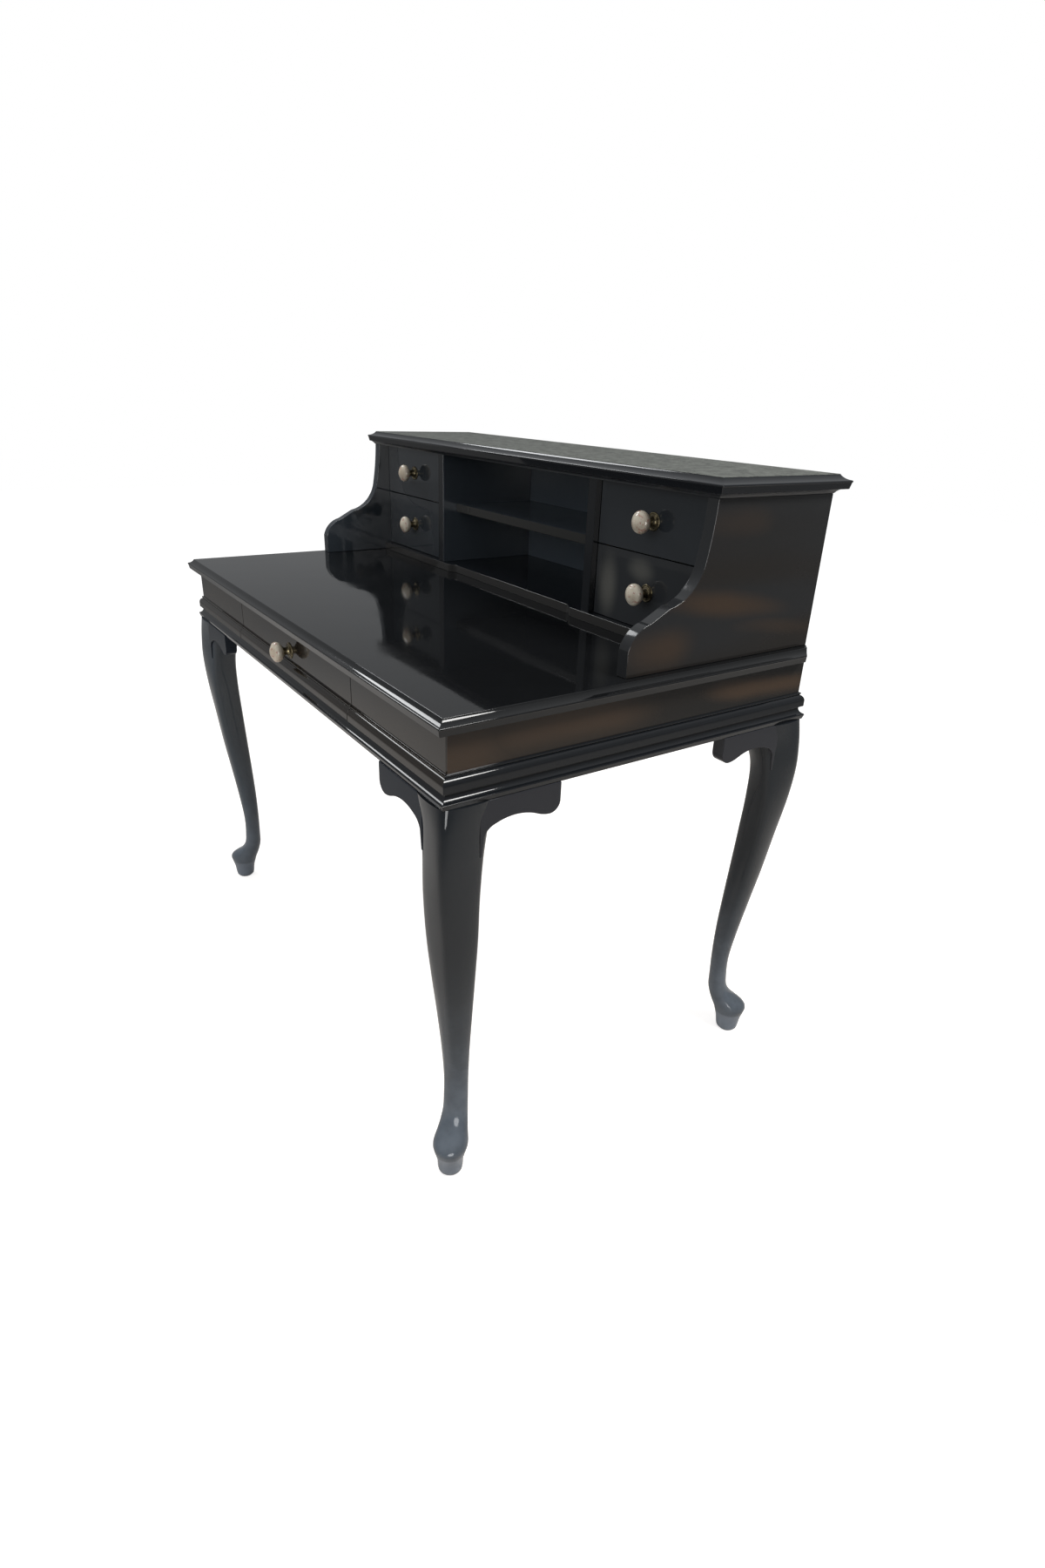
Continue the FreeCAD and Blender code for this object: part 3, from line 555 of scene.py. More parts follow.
def outline(start, steps, arcPoints=8):
    # a step is [end] for a line or [middle, end] for an arc
    points = [start]
    for step in steps:
        if len(step) == 1:
            points.append(step[0])
        else:
            points += arcThrough(points[-1], step[0], step[1], arcPoints)
    if math.dist(points[0], points[-1]) < 0.1 * closeBy:
        points.pop()
    return points


def loft(rings, caps=True):
    # rings hold the same number of points, and each is joined to the next
    made = bmesh.new()
    rows = [[made.verts.new(point) for point in ring] for ring in rings]
    count = len(rows[0])
    for lower, upper in zip(rows, rows[1:]):
        for index in range(count):
            following = (index + 1) % count
            made.faces.new((lower[index], lower[following], upper[following], upper[index]))
    if caps:
        made.faces.new(rows[0][::-1])
        made.faces.new(rows[-1])
    return made


def prism(shape, axis, start, end):
    # a flat outline carried along an axis from start to end
    return loft([[(*point[:axis], place, *point[axis:]) for point in shape] for place in (start, end)])


def mergeInto(made, other):
    mesh = bpy.data.meshes.new("merged")
    other.to_mesh(mesh)
    other.free()
    made.from_mesh(mesh)
    bpy.data.meshes.remove(mesh)


def softenEdges(piece, width, segments=3):
    if width:
        rounding = piece.modifiers.new("rounded edges", "BEVEL")
        rounding.width = width
        rounding.segments = segments
        rounding.limit_method = "ANGLE"
        rounding.angle_limit = math.radians(edgeAngle)
    shading = piece.modifiers.new("even shading", "WEIGHTED_NORMAL")
    shading.keep_sharp = True


def addPiece(name, made, material, body="root", stands=(), bevel=0.0,
             sharpAngle=edgeAngle, segments=3):
    bmesh.ops.remove_doubles(made, verts=made.verts, dist=closeBy)
    bmesh.ops.dissolve_degenerate(made, edges=made.edges, dist=closeBy)
    bmesh.ops.recalc_face_normals(made, faces=made.faces)
    mesh = bpy.data.meshes.new(name)
    made.to_mesh(mesh)
    made.free()
    mesh.shade_smooth()
    mesh.set_sharp_from_angle(angle=math.radians(180.0 if bevel else sharpAngle))
    mesh.materials.append(material)
    piece = bpy.data.objects.new(name, mesh)
    bpy.context.scene.collection.objects.link(piece)
    softenEdges(piece, bevel, segments)
    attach(piece, body)
    if stands:
        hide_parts(*stands)


def dressNode(name, material, bevel):
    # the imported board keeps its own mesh
    piece = nodes[name]
    piece.data.materials.clear()
    piece.data.materials.append(material)
    if bevel:
        joining = piece.modifiers.new("joined corners", "WELD")
        joining.merge_threshold = cornerGap
        softenEdges(piece, bevel, 2)


# Top of the desk and top of the stage, which share a moulded nose
edgeLook = {
    "noseDrop": 9.5 * mm,  # from the flat down to the middle of the nose
    "noseRadius": 1.6 * mm,
    "undercut": 3 * mm,
    "arris": 1.2 * mm,
    "cornerRound": 1.4 * mm,
    "cornerPoints": 4,
}
deskTopLook = {"inset": 10.5 * mm, "backCant": 22 * mm}
stageTopLook = {
    "inset": 13.5 * mm,
    "coveHeight": 6 * mm,
    "coveReach": 6 * mm,
    "coveStep": 0.6 * mm,
    "coveCorner": 0.6 * mm,
}


def noseProfile(inset, thickness):
    # (distance in from the nose, drop from the top surface)
    look = edgeLook
    arris, nose, drop = look["arris"], look["noseRadius"], look["noseDrop"]
    soft = 0.29 * arris
    return outline((inset + arris, 0.0), [
        [(inset + soft, soft), (inset, arris)],
        [(0.58 * inset, 0.62 * drop), (nose, drop - nose)],
        [(0.0, drop), (0.5 * nose, drop + nose)],
        [(look["undercut"] - 0.4 * mm, thickness - 0.5 * mm)],
        [(look["undercut"], thickness - 0.2 * mm), (look["undercut"] + 0.5 * mm, thickness)],
    ], 6)


def cornerPoints(x, y, signX, signY, radius):
    # from the side that faces signX round to the side that faces signY
    points = []
    count = edgeLook["cornerPoints"]
    for step in range(count + 1):
        angle = 0.5 * math.pi * step / count
        inX, inY = radius * (1 - math.cos(angle)), radius * (1 - math.sin(angle))
        points.append((x - signX * inX, y - signY * inY))
    return points


def slabRing(halfWidth, front, back, z, radius, cant=0.0):
    frontRight = cornerPoints(halfWidth, front, 1, -1, radius)[::-1]
    if cant:
        backRight = [(halfWidth, back - cant), (halfWidth - cant, back)]
    else:
        backRight = cornerPoints(halfWidth, back, 1, 1, radius)
    right = frontRight + backRight
    left = [(-x, y) for x, y in right[::-1]]
    return [(x, y, z) for x, y in right + left]


def cornerRadius(inward, inset):
    # rounder at the nose than on the flat
    return edgeLook["cornerRound"] * (1 - 0.5 * min(1.0, inward / inset))


def makeDeskTop():
    low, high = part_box("desk_top")
    look = deskTopLook
    rings = []
    for inward, drop in noseProfile(look["inset"], high.z - low.z):
        radius = cornerRadius(inward, look["inset"])
        rings.append(slabRing(high.x - inward, low.y + inward, high.y, high.z - drop, radius,
                              look["backCant"] - inward))
    addPiece("desk_top_board", loft(rings), coats["desk_top"], stands=["desk_top"])


def makeStageTop():
    low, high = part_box("stage_top")
    look = stageTopLook
    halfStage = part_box("stage_side_right")[1].x
    boardThickness = high.z - low.z - look["coveHeight"]
    coveTop = high.z - boardThickness
    rings = []
    for inward, drop in noseProfile(look["inset"], boardThickness):
        radius = cornerRadius(inward, look["inset"])
        rings.append(slabRing(high.x - inward, low.y + inward, high.y - inward, high.z - drop, radius))
    reach, height, step = look["coveReach"], look["coveHeight"], look["coveStep"]
    hollow = outline((reach, 0.0), [
        [(reach, step)],
        [(step + 0.28 * (reach - step), 0.72 * (height - step)), (step, height)],
    ], 6)
    for outward, drop in hollow:
        rings.append(slabRing(halfStage + outward, stageFront - outward, carcaseBack + outward,
                              coveTop - drop, look["coveCorner"]))
    addPiece("stage_top_board", loft(rings), dustyTop, stands=["stage_top"], sharpAngle=50.0)


makeDeskTop()
makeStageTop()
print("tops made")


# Base rail, bead and frieze
railLook = {"reach": 10.7 * mm, "arrisRise": 7.35 * mm, "fallBack": 2 * mm, "arris": 0.7 * mm}
beadLook = {
    "height": 19 * mm,
    "reach": 8 * mm,
    "softening": 0.8 * mm,
    "filletHeight": 4 * mm,
    "filletReach": 2.5 * mm,
}
friezeLook = {"drawerHalf": 250 * mm, "edge": 0.9 * mm, "topEdge": 0.2 * mm}


def railSection():
    look = railLook
    base, reach, soft = railUnderside, look["reach"], look["arris"]
    back = reach - look["fallBack"]
    arris = base + look["arrisRise"]
    hollow = railTop - arris
    return outline((-friezeThickness, base), [
        [(back - soft, base)],
        [(back - 0.25 * soft, base + 0.3 * soft), (back + 0.1 * soft, base + soft)],
        [(reach - 0.25 * soft, arris - soft)],
        [(reach, arris), (reach - 0.5 * soft, arris + 0.5 * soft)],
        [(0.93 * reach, arris + 0.1 * hollow)],
        [(0.33 * reach, arris + 0.52 * hollow), (0.3 * reach, railTop)],
        [(-friezeThickness, railTop)],
    ])


def beadSteps(base):
    look = beadLook
    reach, height, soft = look["reach"], look["height"], look["softening"]
    filletReach, filletHeight = look["filletReach"], look["filletHeight"]
    top = railTop + height
    step = 0.15 * filletHeight
    filletTop = top + filletHeight
    return [
        [(reach - soft, base)],
        [(reach - 0.29 * soft, base + 0.29 * soft), (reach, base + soft)],
        [(reach, railTop + 0.42 * height)],
        [(0.72 * reach, railTop + 0.83 * height), (0.19 * reach, top)],
        [(filletReach, top + step)],
        [(1.2 * filletReach, top + 0.5 * filletHeight), (filletReach, filletTop - step)],
        [(0.0, filletTop)],
    ]


# These turn (distance out from the carcase face, height, place along the run) into a point
sidePlace = {
    "front": lambda out, z, run: (run, carcaseFront - out, z),
    "back": lambda out, z, run: (run, carcaseBack + out, z),
    "left": lambda out, z, run: (-halfCarcase - out, run, z),
    "right": lambda out, z, run: (halfCarcase + out, run, z),
}


def mitredRun(name, side, section, stands):
    if side in ("left", "right"):
        first, last = carcaseFront, carcaseBack
    else:
        first, last = -halfCarcase, halfCarcase
    place = sidePlace[side]
    start = [place(out, z, first - out) for out, z in section]
    end = [place(out, z, last + out) for out, z in section]
    addPiece(name, loft([start, end]), coats["gloss"], stands=[stands], sharpAngle=45.0)


def makeMouldings():
    for side in sidePlace:
        mitredRun("rail_moulding_" + side, side, railSection(), "base_rail_" + side)
    bead = outline((0.0, railTop), beadSteps(railTop))
    for side in ("back", "left", "right"):
        mitredRun("bead_moulding_" + side, side, bead, "bead_" + side)


def friezeSection(base, top, edge):
    # board and bead in one, with the inner edge of the lip as its own pair of points
    steps = beadSteps(base)
    steps += [
        [(0.0, top - edge)],
        [(-0.29 * edge, top - 0.29 * edge), (-edge, top)],
        [(-friezeLip, top)],
        [(-friezeThickness, top)],
        [(-friezeThickness, base)],
        [(-friezeLip, base)],
    ]
    return outline((0.0, base), steps)


def easedEnd(section, sign, end, towards):
    # the rings of a front board at one end, from its end face over the rounded arris to the full section
    edge = friezeLook["edge"]
    place = sidePlace["front"]
    rings = []
    for along, eased, full in ((0.0, 1.0, 0.0), (0.3, 0.3, 0.7), (1.0, 0.0, 1.0)):
        ring = []
        for out, z in section:
            less = out - edge if out > -friezeLip else out
            ring.append(place(eased * less + full * out, z, sign * (end + towards * along * edge)))
        rings.append(ring)
    return rings


def makeFriezeFront(side, sign):
    section = friezeSection(railTop, deskUnderside, friezeLook["topEdge"])
    inner = halfCarcase - friezeThickness
    place = sidePlace["front"]
    lip = [(max(out, -friezeLip), z) for out, z in section]  # all that goes on over the side board
    rings = easedEnd(section, sign, friezeLook["drawerHalf"], 1)
    rings.append([place(out, z, sign * inner) for out, z in section])
    rings.append([place(out, z, sign * inner) for out, z in lip])
    rings.append([place(out, z, sign * (halfCarcase + max(out, 0.0))) for out, z in lip])
    addPiece("frieze_board_front_" + side, loft(rings), coats["front"], stands=["frieze_front_" + side],
             sharpAngle=45.0)


def makeWritingDrawerFront():
    low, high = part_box("writing_drawer_front")
    section = friezeSection(low.z, high.z, friezeLook["edge"])
    rings = easedEnd(section, -1, high.x, -1) + easedEnd(section, 1, high.x, -1)[::-1]
    addPiece("writing_drawer_face", loft(rings), coats["front"], "writing_drawer",
             stands=["writing_drawer_front"], sharpAngle=45.0)


makeMouldings()
makeFriezeFront("left", -1)
makeFriezeFront("right", 1)
makeWritingDrawerFront()
print("frieze and mouldings made")


# Legs and knee brackets
legLook = {
    "post": 62 * mm,
    "stub": 44 * mm,  # square top of the leg, inside the corner of the frieze
    "stubSink": 5 * mm,
    "footMiddle": 20 * mm,
    "around": 64,
    "levels": 150,
    "arrisSoftness": 0.07,
}
# Sections of the leg: height, then on the diagonal the outer line, the middle and the inner line, half the
# width, and the power of its outline, 2 for a round one. On the foot they are in mm from the foot's middle.
footStations = [
    (0, -15, 0, 15, 15, 2.0),
    (4, -19, 0, 19, 18.5, 2.0),
    (26, -22.5, 0.5, 23, 20.5, 2.0),
    (46, -27.5, 1, 29, 25.5, 2.0),
    (53, -28.5, 1.5, 31.5, 26.8, 2.0),
    (59, -25, 4, 34.5, 26, 2.0),
    (67, -14.5, 11, 38, 23.8, 2.0),
    (78, 0.5, 20, 42, 21.5, 2.0),
    (94, 11.5, 28.5, 46, 19.6, 1.95),
]
# Above it the height is a share of the leg's, and the lines are in mm from the corner of the carcase.
shaftStations = [
    (0.18, 35.5, 51.5, 67, 19, 1.9),
    (0.25, 37, 52.5, 68.5, 19, 1.8),
    (0.34, 30, 49, 68.5, 21.5, 1.65),
    (0.45, 18.5, 43, 65.5, 26.5, 1.5),
    (0.55, 7.5, 36, 62, 31.5, 1.4),
    (0.67, -4, 29, 58, 37, 1.3),
    (0.78, -15, 26, 55, 39.5, 1.25),
    (0.87, -20, 33, 57, 41.5, 1.2),
]


def legStations():
    look = legLook
    height, foot = railUnderside, look["footMiddle"]
    half = look["post"] / math.sqrt(2)
    stations = []
    for z, *lines, width, power in footStations:
        stations.append((z * mm, *[foot + line * mm for line in lines], width * mm, power))
    for share, *sizes, power in shaftStations:
        stations.append((share * height, *[size * mm for size in sizes], power))
    # the knee runs out into the square post under the rail
    stations.append((0.94 * height, -17 * mm, 40 * mm, 72 * mm, 1.03 * half, 1.2))
    stations.append((height, -10 * mm, 0.87 * half, 2 * half - 3 * mm, 1.12 * half, 1.25))
    return stations


def smoothCurve(heights, values):
    # a smooth curve through the stations, as a function of the height
    tangents = []
    for index in range(len(values)):
        low = max(index - 1, 0)
        high = min(index + 1, len(values) - 1)
        tangents.append((values[high] - values[low]) / (heights[high] - heights[low]))

    def at(height):
        index = 0
        while index < len(heights) - 2 and height > heights[index + 1]:
            index += 1
        step = heights[index + 1] - heights[index]
        t = (height - heights[index]) / step
        return ((1 + 2 * t) * (1 - t) ** 2 * values[index] + t * (1 - t) ** 2 * step * tangents[index]
                + t * t * (3 - 2 * t) * values[index + 1] + t * t * (t - 1) * step * tangents[index + 1])
    return at


def softened(value):
    # keeps the arrises of the section from being knife edges
    soft = legLook["arrisSoftness"]
    return math.sqrt(value * value + soft * soft) - 0.15 * soft


def legRing(height, shape, cornerX, cornerY, inX, inY):
    outer, middle, inner, width, power = shape
    points = []
    for step in range(legLook["around"]):
        angle = 2 * math.pi * step / legLook["around"]
        along, across = math.cos(angle), math.sin(angle)
        depth = (inner - middle) if along > 0 else (middle - outer)
        scale = (softened(along) / depth) ** power + (softened(across) / width) ** power
        scale = scale ** (-1 / power)
        inwards = middle + scale * along
        sideways = scale * across
        points.append((cornerX + (inwards * inX - sideways * inY) / math.sqrt(2),
                       cornerY + (inwards * inY + sideways * inX) / math.sqrt(2), height))
    return points


def makeLeg(place, cornerX, cornerY, signX, signY, finish):
    heights, *lines = zip(*legStations())
    curves = [smoothCurve(heights, line) for line in lines]
    rings = []
    for level in range(legLook["levels"] + 1):
        height = railUnderside * level / legLook["levels"]
        shape = [curve(height) for curve in curves]
        rings.append(legRing(height, shape, cornerX, cornerY, -signX, -signY))
    made = loft(rings)
    near = friezeThickness
    far = near + legLook["stub"]
    x0, x1 = sorted((cornerX - signX * near, cornerX - signX * far))
    y0, y1 = sorted((cornerY - signY * near, cornerY - signY * far))
    square = [(x0, y0), (x1, y0), (x1, y1), (x0, y1)]
    mergeInto(made, prism(square, 2, railUnderside - legLook["stubSink"], deskUnderside))
    addPiece("cabriole_leg" + place, made, finish, stands=["leg" + place], sharpAngle=75.0)


bracketLook = {
    "length": 107 * mm,
    "depth": 43.5 * mm,
    "rise": 13 * mm,
    "corner": 17 * mm,
    "tail": 36 * mm,
    "tenon": 18 * mm,
    "thickness": 22 * mm,
    "projection": 10 * mm,
    "edge": 1.2 * mm,
}


def bracketOutline():
    look = bracketLook
    low, end, corner = -look["depth"], look["length"], look["corner"]
    rise, tenon, tail = look["rise"], look["tenon"], look["tail"]
    slack = 0.29 * corner
    return outline((-tenon, 0.0), [
        [(end, 0.0)],
        [(end, low + corner)],
        [(end - slack, low + slack), (end - corner, low)],
        [(0.75 * end, low + 0.12 * rise), (0.65 * end, low + 0.42 * rise)],
        [(0.35 * end, low + rise), (0.04 * end, low + 0.55 * rise)],
        [(-0.3 * tenon, low + 0.12 * rise), (-0.62 * tenon, low - 0.2 * tail)],
        [(-0.8 * tenon, low - tail)],
        [(-tenon, low - tail)],
    ], 10)


def makeBrackets(place, cornerX, cornerY, signX, signY):
    look = bracketLook
    post = legLook["post"]
    shape = bracketOutline()
    depths = (-look["projection"], look["thickness"] - look["projection"])
    alongFront = prism([(cornerX - signX * (post + u), railUnderside + v) for u, v in shape], 1,
                       *[cornerY - signY * depth for depth in depths])
    alongSide = prism([(cornerY - signY * (post + u), railUnderside + v) for u, v in shape], 0,
                      *[cornerX - signX * depth for depth in depths])
    addPiece("knee_bracket_across" + place, alongFront, coats["brackets_across"], bevel=look["edge"],
             stands=["knee_brackets" + place])
    addPiece("knee_bracket_lengthwise" + place, alongSide, coats["brackets_lengthwise"], bevel=look["edge"])


for end, cornerY, signY in (("front", carcaseFront, -1), ("back", carcaseBack, 1)):
    for side, signX in (("left", -1), ("right", 1)):
        place = "_" + end + "_" + side
        finish = coats["paler_leg" if place == "_front_left" else "legs"]
        makeLeg(place, signX * halfCarcase, cornerY, signX, signY, finish)
        makeBrackets(place, signX * halfCarcase, cornerY, signX, signY)
print("legs and brackets made")


# Ends and floor of the stage
stageSideLook = {"toeReach": 133.5 * mm, "toeHeight": 36 * mm, "edge": 1.3 * mm}
stageBaseLook = {
    "recessDepth": 9 * mm,
    "recessMargin": 22 * mm,
    "recessRun": 26 * mm,
    "edge": 0.9 * mm,
}


def makeStageSide(side):
    low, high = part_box("stage_side_" + side)
    look = stageSideLook
    toeTop = low.z + look["toeHeight"]
    rise = high.z - toeTop

    def at(reach, height):
        return (low.y + reach * look["toeReach"], toeTop + height * rise)

    shape = outline((low.y, low.z), [
        [(low.y, toeTop)],
        [at(0.08, 0.105), at(0.27, 0.183)],
        [at(0.51, 0.272)],
        [at(0.8, 0.384), at(0.933, 0.577)],
        [at(0.981, 0.804), (stageFront, high.z)],
        [(high.y, high.z)],
        [(high.y, low.z)],
    ], 14)
    addPiece("stage_end_" + side, prism(shape, 0, low.x, high.x), coats[side + "_side"], bevel=look["edge"],
             stands=["stage_side_" + side], segments=4)


def makeStageBase():
    low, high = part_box("stage_base")
    look = stageBaseLook
    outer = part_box("partition_right")[0].x - look["recessMargin"]
    ends = [(outer - run * look["recessRun"], low.y + depth * look["recessDepth"])
            for run, depth in ((0, 0), (0.32, 0.18), (0.5, 0.5), (0.68, 0.82), (1, 1))]
    other = [(-x, y) for x, y in ends]
    shape = outline((high.x, low.y), [
        [(high.x, high.y)],
        [(low.x, high.y)],
        [(low.x, low.y)],
        [other[0]],
        [other[1], other[2]],
        [other[3], other[4]],
        [ends[4]],
        [ends[3], ends[2]],
        [ends[1], ends[0]],
    ], 6)
    addPiece("stage_floor_board", prism(shape, 2, low.z, high.z), coats["stage_floor"], bevel=look["edge"],
             stands=["stage_base"])


makeStageSide("left")
makeStageSide("right")
makeStageBase()
print("stage made")


# Knobs on their collars
knobLook = {
    "around": 56,
    "rim": 0.45,  # share of the depth at the widest line
    "crown": 1.12,  # radius of the crown, as a share of the knob's
    "shoulder": 0.72,
    "neck": 12 * mm,
    "rose": 27 * mm,
    "roseThickness": 2.5 * mm,
    "cup": 19 * mm,
    "stud": 4 * mm,
    "studAround": 20,
    "studEnd": 0.4 * mm,  # chamfer
    "studProud": 2 * mm,  # of the nut
    "nut": 9 * mm,
    "nutThickness": 3 * mm,
}


def lathe(profile, x, z, around):
    # turns a profile of (radius, y) about the line through x and z
    rings = []
    for step in range(around):
        angle = 2 * math.pi * step / around
        across, up = math.cos(angle), math.sin(angle)
        rings.append([(x + radius * across, y, z + radius * up) for radius, y in profile])
    return loft(rings + [rings[0]], caps=False)


def makeKnob(drawer):
    look = knobLook
    low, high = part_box(drawer + "_knob")
    x, z = (low.x + high.x) / 2, (low.z + high.z) / 2
    near, tip = high.y, low.y
    depth = near - tip
    radius = (high.x - low.x) / 2
    crown = look["crown"] * radius

    def crownAt(out):
        return tip + crown - math.sqrt(crown ** 2 - out ** 2)

    shoulder = look["shoulder"] * radius
    profile = outline((0.0, near), [
        [(0.88 * look["cup"] / 2, near)],
        [(0.86 * radius, near - 0.14 * depth), (radius, near - look["rim"] * depth)],
        [(0.925 * radius, crownAt(0.87 * radius)), (shoulder, crownAt(shoulder))],
        [(0.4 * radius, crownAt(0.4 * radius)), (0.0, tip)],
    ], 10)
    addPiece(drawer + "_porcelain_knob", lathe(profile, x, z, look["around"]), glazed, drawer,
             stands=[drawer + "_knob"], sharpAngle=60.0)


def makeCollar(drawer):
    look = knobLook
    low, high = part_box(drawer + "_knob_collar")
    x, z = (low.x + high.x) / 2, (low.z + high.z) / 2
    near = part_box(drawer + "_knob")[1].y
    face = carcaseFront if drawer == "writing_drawer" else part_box(drawer + "_front")[0].y
    length = face - near
    rose, neck, cup = look["rose"] / 2, look["neck"] / 2, look["cup"] / 2
    thick, overlap = look["roseThickness"], 0.1 * length
    profile = outline((0.0, face), [
        [(rose, face)],
        [(rose, face - 0.25 * thick)],
        [(0.95 * rose, face - 0.62 * thick), (0.86 * rose, face - 0.7 * thick)],
        [(0.78 * rose, face - 0.55 * thick), (0.7 * rose, face - 0.8 * thick)],
        [(1.3 * neck, face - 0.95 * thick), (1.17 * neck, face - 1.3 * thick)],
        [(neck, face - 0.5 * length), (0.87 * cup, near + overlap)],
        [(cup, near + 0.5 * overlap), (0.94 * cup, near)],
        [(0.0, near)],
    ], 7)
    addPiece(drawer + "_brass_collar", lathe(profile, x, z, look["around"]), brass, drawer,
             stands=[drawer + "_knob_collar"], sharpAngle=60.0)
    makeStud(drawer, x, z, face, high.y)


def makeStud(drawer, x, z, face, back):
    look = knobLook
    radius, chamfer = look["stud"] / 2, look["studEnd"]
    made = lathe([(0.0, face), (radius, face), (radius, back - chamfer), (radius - chamfer, back),
                  (0.0, back)], x, z, look["studAround"])
    boardBack = back - look["studProud"] - look["nutThickness"]
    hexagon = []
    for step in range(6):
        angle = math.pi * step / 3
        hexagon.append((x + look["nut"] / 2 * math.cos(angle), z + look["nut"] / 2 * math.sin(angle)))
    mergeInto(made, prism(hexagon, 1, boardBack, boardBack + look["nutThickness"]))
    addPiece(drawer + "_stud_and_nut", made, brass, drawer, sharpAngle=35.0)


drawers = ["writing_drawer"]
for level in ("upper", "lower"):
    for side in ("left", "right"):
        drawers.append(level + "_" + side + "_drawer")
for drawer in drawers:
    makeKnob(drawer)
    makeCollar(drawer)
print("knobs made:", len(drawers))


# Plain boards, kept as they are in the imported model
boardLook = {"edge": 0.7 * mm, "drawerEdge": 0.3 * mm, "insideEdge": 0.5 * mm}
for name in ("frieze_side_left", "frieze_side_right", "frieze_back"):
    dressNode(name, coats["frieze_sides"], 0.0)
for name in ("partition_left", "partition_right"):
    dressNode(name, coats["partitions"], boardLook["edge"])
dressNode("centre_shelf", coats["shelf"], boardLook["edge"])
dressNode("stage_back", coats["inside"], boardLook["insideEdge"])
for side in ("left", "right"):
    dressNode("dust_board_" + side, coats["inside"], 0.0)
    dressNode("drawer_runner_" + side, woodAlongY, boardLook["insideEdge"])
for drawer in drawers:
    if drawer != "writing_drawer":  # the lower right drawer has a coat of its own
        dressNode(drawer + "_front", coats.get(drawer, coats["drawers"]), boardLook["drawerEdge"])
    dressNode(drawer + "_walls", woodAlongY, boardLook["insideEdge"])
    dressNode(drawer + "_bottom", woodAlongX, 0.0)
dressNode("corner_blocks", woodAlongY, boardLook["insideEdge"])
dressNode("wood_screws", steel, 0.0)
print("boards dressed")


# Floor, light and camera
studioLook = {
    "floorColour": (0.66, 0.625, 0.59),
    "floorFar": (0.25, 0.243, 0.236),
    "floorHalf": 9.0,
    "poolInner": 1.0,  # painted pool of light: the floor is pale out to here and darker beyond
    "poolOuter": 3.1,
    "glowNear": 0.76,  # lifts the floor to white for the camera
    "glowFar": 1.0,
    "worldLow": 0.26,  # light from near the horizon
    "worldHigh": 0.64,  # and from overhead
    "worldRise": (0.25, 0.95),
    "worldTint": (0.95, 0.975, 1.0),
    "worldSeen": 1.0,
    "glossShare": 0.08,  # how much of the white background the gloss shows
}
# Lamps: name, direction from the desk, distance, size, watts, colour and what the lamp is seen in
lampLook = [
    ("key", (0.62, 0.22, 0.74), 3.0, 0.9, 55.0, (1.0, 0.99, 0.97), "both"),
    ("window", (-0.7, -0.2, 0.68), 3.4, 1.2, 32.0, (0.97, 0.985, 1.0), "both"),
    ("fill", (0.15, -0.9, 0.38), 3.4, 2.0, 28.0, (0.97, 0.985, 1.0), "diffuse"),
    ("low", (0.9, -0.44, 0.06), 3.4, 1.7, 60.0, (1.0, 1.0, 1.0), "gloss"),
]
cameraLook = {
    "eye": (1.3179, -0.7585, 1.1002),
    "azimuth": 54.997,  # degrees from +Y towards -X
    "down": 25.166,
    "roll": 2.2816,
    "lens": 28.68,  # this and the sensor's width are in mm
    "sensor": 36.0,
    "clipStart": 20 * mm,
}


def makeFloor():
    look = studioLook
    half = look["floorHalf"]
    mesh = bpy.data.meshes.new("studio_floor")
    corners = [(-half, -half, 0), (half, -half, 0), (half, half, 0), (-half, half, 0)]
    mesh.from_pydata(corners, [], [(0, 1, 2, 3)])
    floor = bpy.data.objects.new("studio_floor", mesh)
    bpy.context.scene.collection.objects.link(floor)
    material, tree = newMaterial("pale_floor")
    away = remap(tree, vectorMath(tree, "LENGTH", textureSpace(tree)), look["poolInner"], look["poolOuter"])
    colour = blendColours(tree, away, look["floorColour"], look["floorFar"])
    matt = addNode(tree, "ShaderNodeBsdfDiffuse", Color=colour)
    lift = remap(tree, away, 0.0, 1.0, look["glowNear"], look["glowFar"])
    glow = addNode(tree, "ShaderNodeEmission", Color=(1.0, 1.0, 1.0),
                   Strength=product(tree, seenRays(tree), lift))
    both = addNode(tree, "ShaderNodeAddShader")
    feed(tree, both.inputs[0], matt.outputs[0])
    feed(tree, both.inputs[1], glow.outputs[0])
    addNode(tree, "ShaderNodeOutputMaterial", Surface=both.outputs[0])
    mesh.materials.append(material)


def seenRays(tree):
    # 1 where the white background is looked at, and a small share of that in the gloss
    path = addNode(tree, "ShaderNodeLightPath")
    gloss = product(tree, path.outputs["Is Glossy Ray"], studioLook["glossShare"])
    seen = combine(tree, "MAXIMUM", path.outputs["Is Camera Ray"], gloss)
    return combine(tree, "MAXIMUM", seen, path.outputs["Is Transmission Ray"])


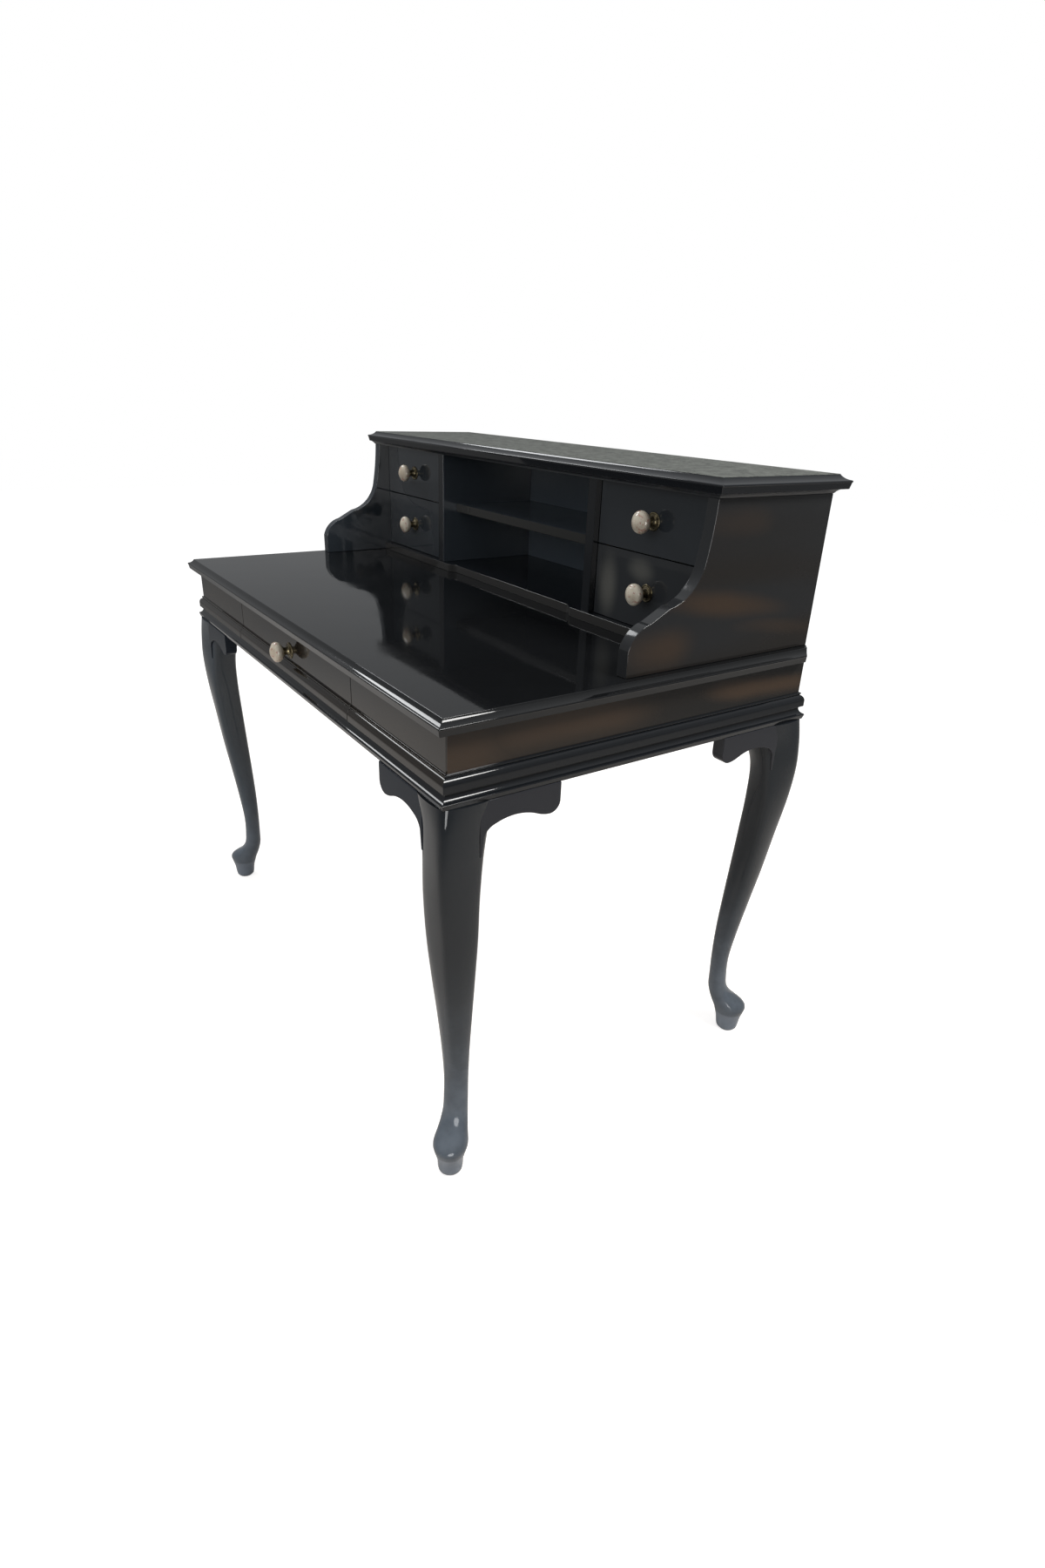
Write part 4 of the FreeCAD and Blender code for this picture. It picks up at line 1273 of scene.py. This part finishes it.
def makeWorld():
    look = studioLook
    world = bpy.data.worlds.new("soft studio")
    world.use_nodes = True
    tree = world.node_tree
    tree.nodes.clear()
    seen = seenRays(tree)
    place = addNode(tree, "ShaderNodeTexCoord")
    height = partAlong(tree, place.outputs["Generated"], "Z")
    lit = remap(tree, height, *look["worldRise"], look["worldLow"], look["worldHigh"])
    strength = addNode(tree, "ShaderNodeMapRange", Value=seen, To_Min=lit, To_Max=look["worldSeen"])
    colour = blendColours(tree, seen, look["worldTint"], (1.0, 1.0, 1.0))
    light = addNode(tree, "ShaderNodeBackground", Color=colour, Strength=strength.outputs[0])
    addNode(tree, "ShaderNodeOutputWorld", Surface=light.outputs[0])
    bpy.context.scene.world = world


def makeLamps():
    middle = (cadBox[0] + cadBox[1]) / 2
    for name, direction, distance, size, watts, colour, seenIn in lampLook:
        data = bpy.data.lights.new(name + "_lamp", "AREA")
        data.shape = "DISK"
        data.size = size
        data.energy = watts
        data.color = colour
        lamp = bpy.data.objects.new(name + "_lamp", data)
        lamp.visible_glossy = seenIn != "diffuse"
        lamp.visible_diffuse = seenIn != "gloss"
        away = Vector(direction).normalized()
        lamp.location = middle + away * distance
        lamp.rotation_euler = away.to_track_quat("Z", "Y").to_euler()
        bpy.context.scene.collection.objects.link(lamp)


def makeCamera():
    look = cameraLook
    azimuth, down, roll = (math.radians(look[key]) for key in ("azimuth", "down", "roll"))
    ahead = math.cos(down)
    forward = Vector((-math.sin(azimuth) * ahead, math.cos(azimuth) * ahead, -math.sin(down)))
    level = forward.cross(Vector((0, 0, 1))).normalized()
    upright = level.cross(forward)
    right = math.cos(roll) * level + math.sin(roll) * upright
    up = math.cos(roll) * upright - math.sin(roll) * level
    data = bpy.data.cameras.new("camera")
    data.sensor_fit = "HORIZONTAL"
    data.sensor_width = look["sensor"]
    data.lens = look["lens"]
    data.clip_start = look["clipStart"]
    camera = bpy.data.objects.new("camera", data)
    turn = Matrix((right, up, -forward)).transposed().to_4x4()
    camera.matrix_world = Matrix.Translation(Vector(look["eye"])) @ turn
    bpy.context.scene.collection.objects.link(camera)
    bpy.context.scene.camera = camera


makeFloor()
makeWorld()
makeLamps()
makeCamera()
bpy.context.scene.view_settings.view_transform = "Standard"
print("studio made")

bpy.context.view_layer.update()
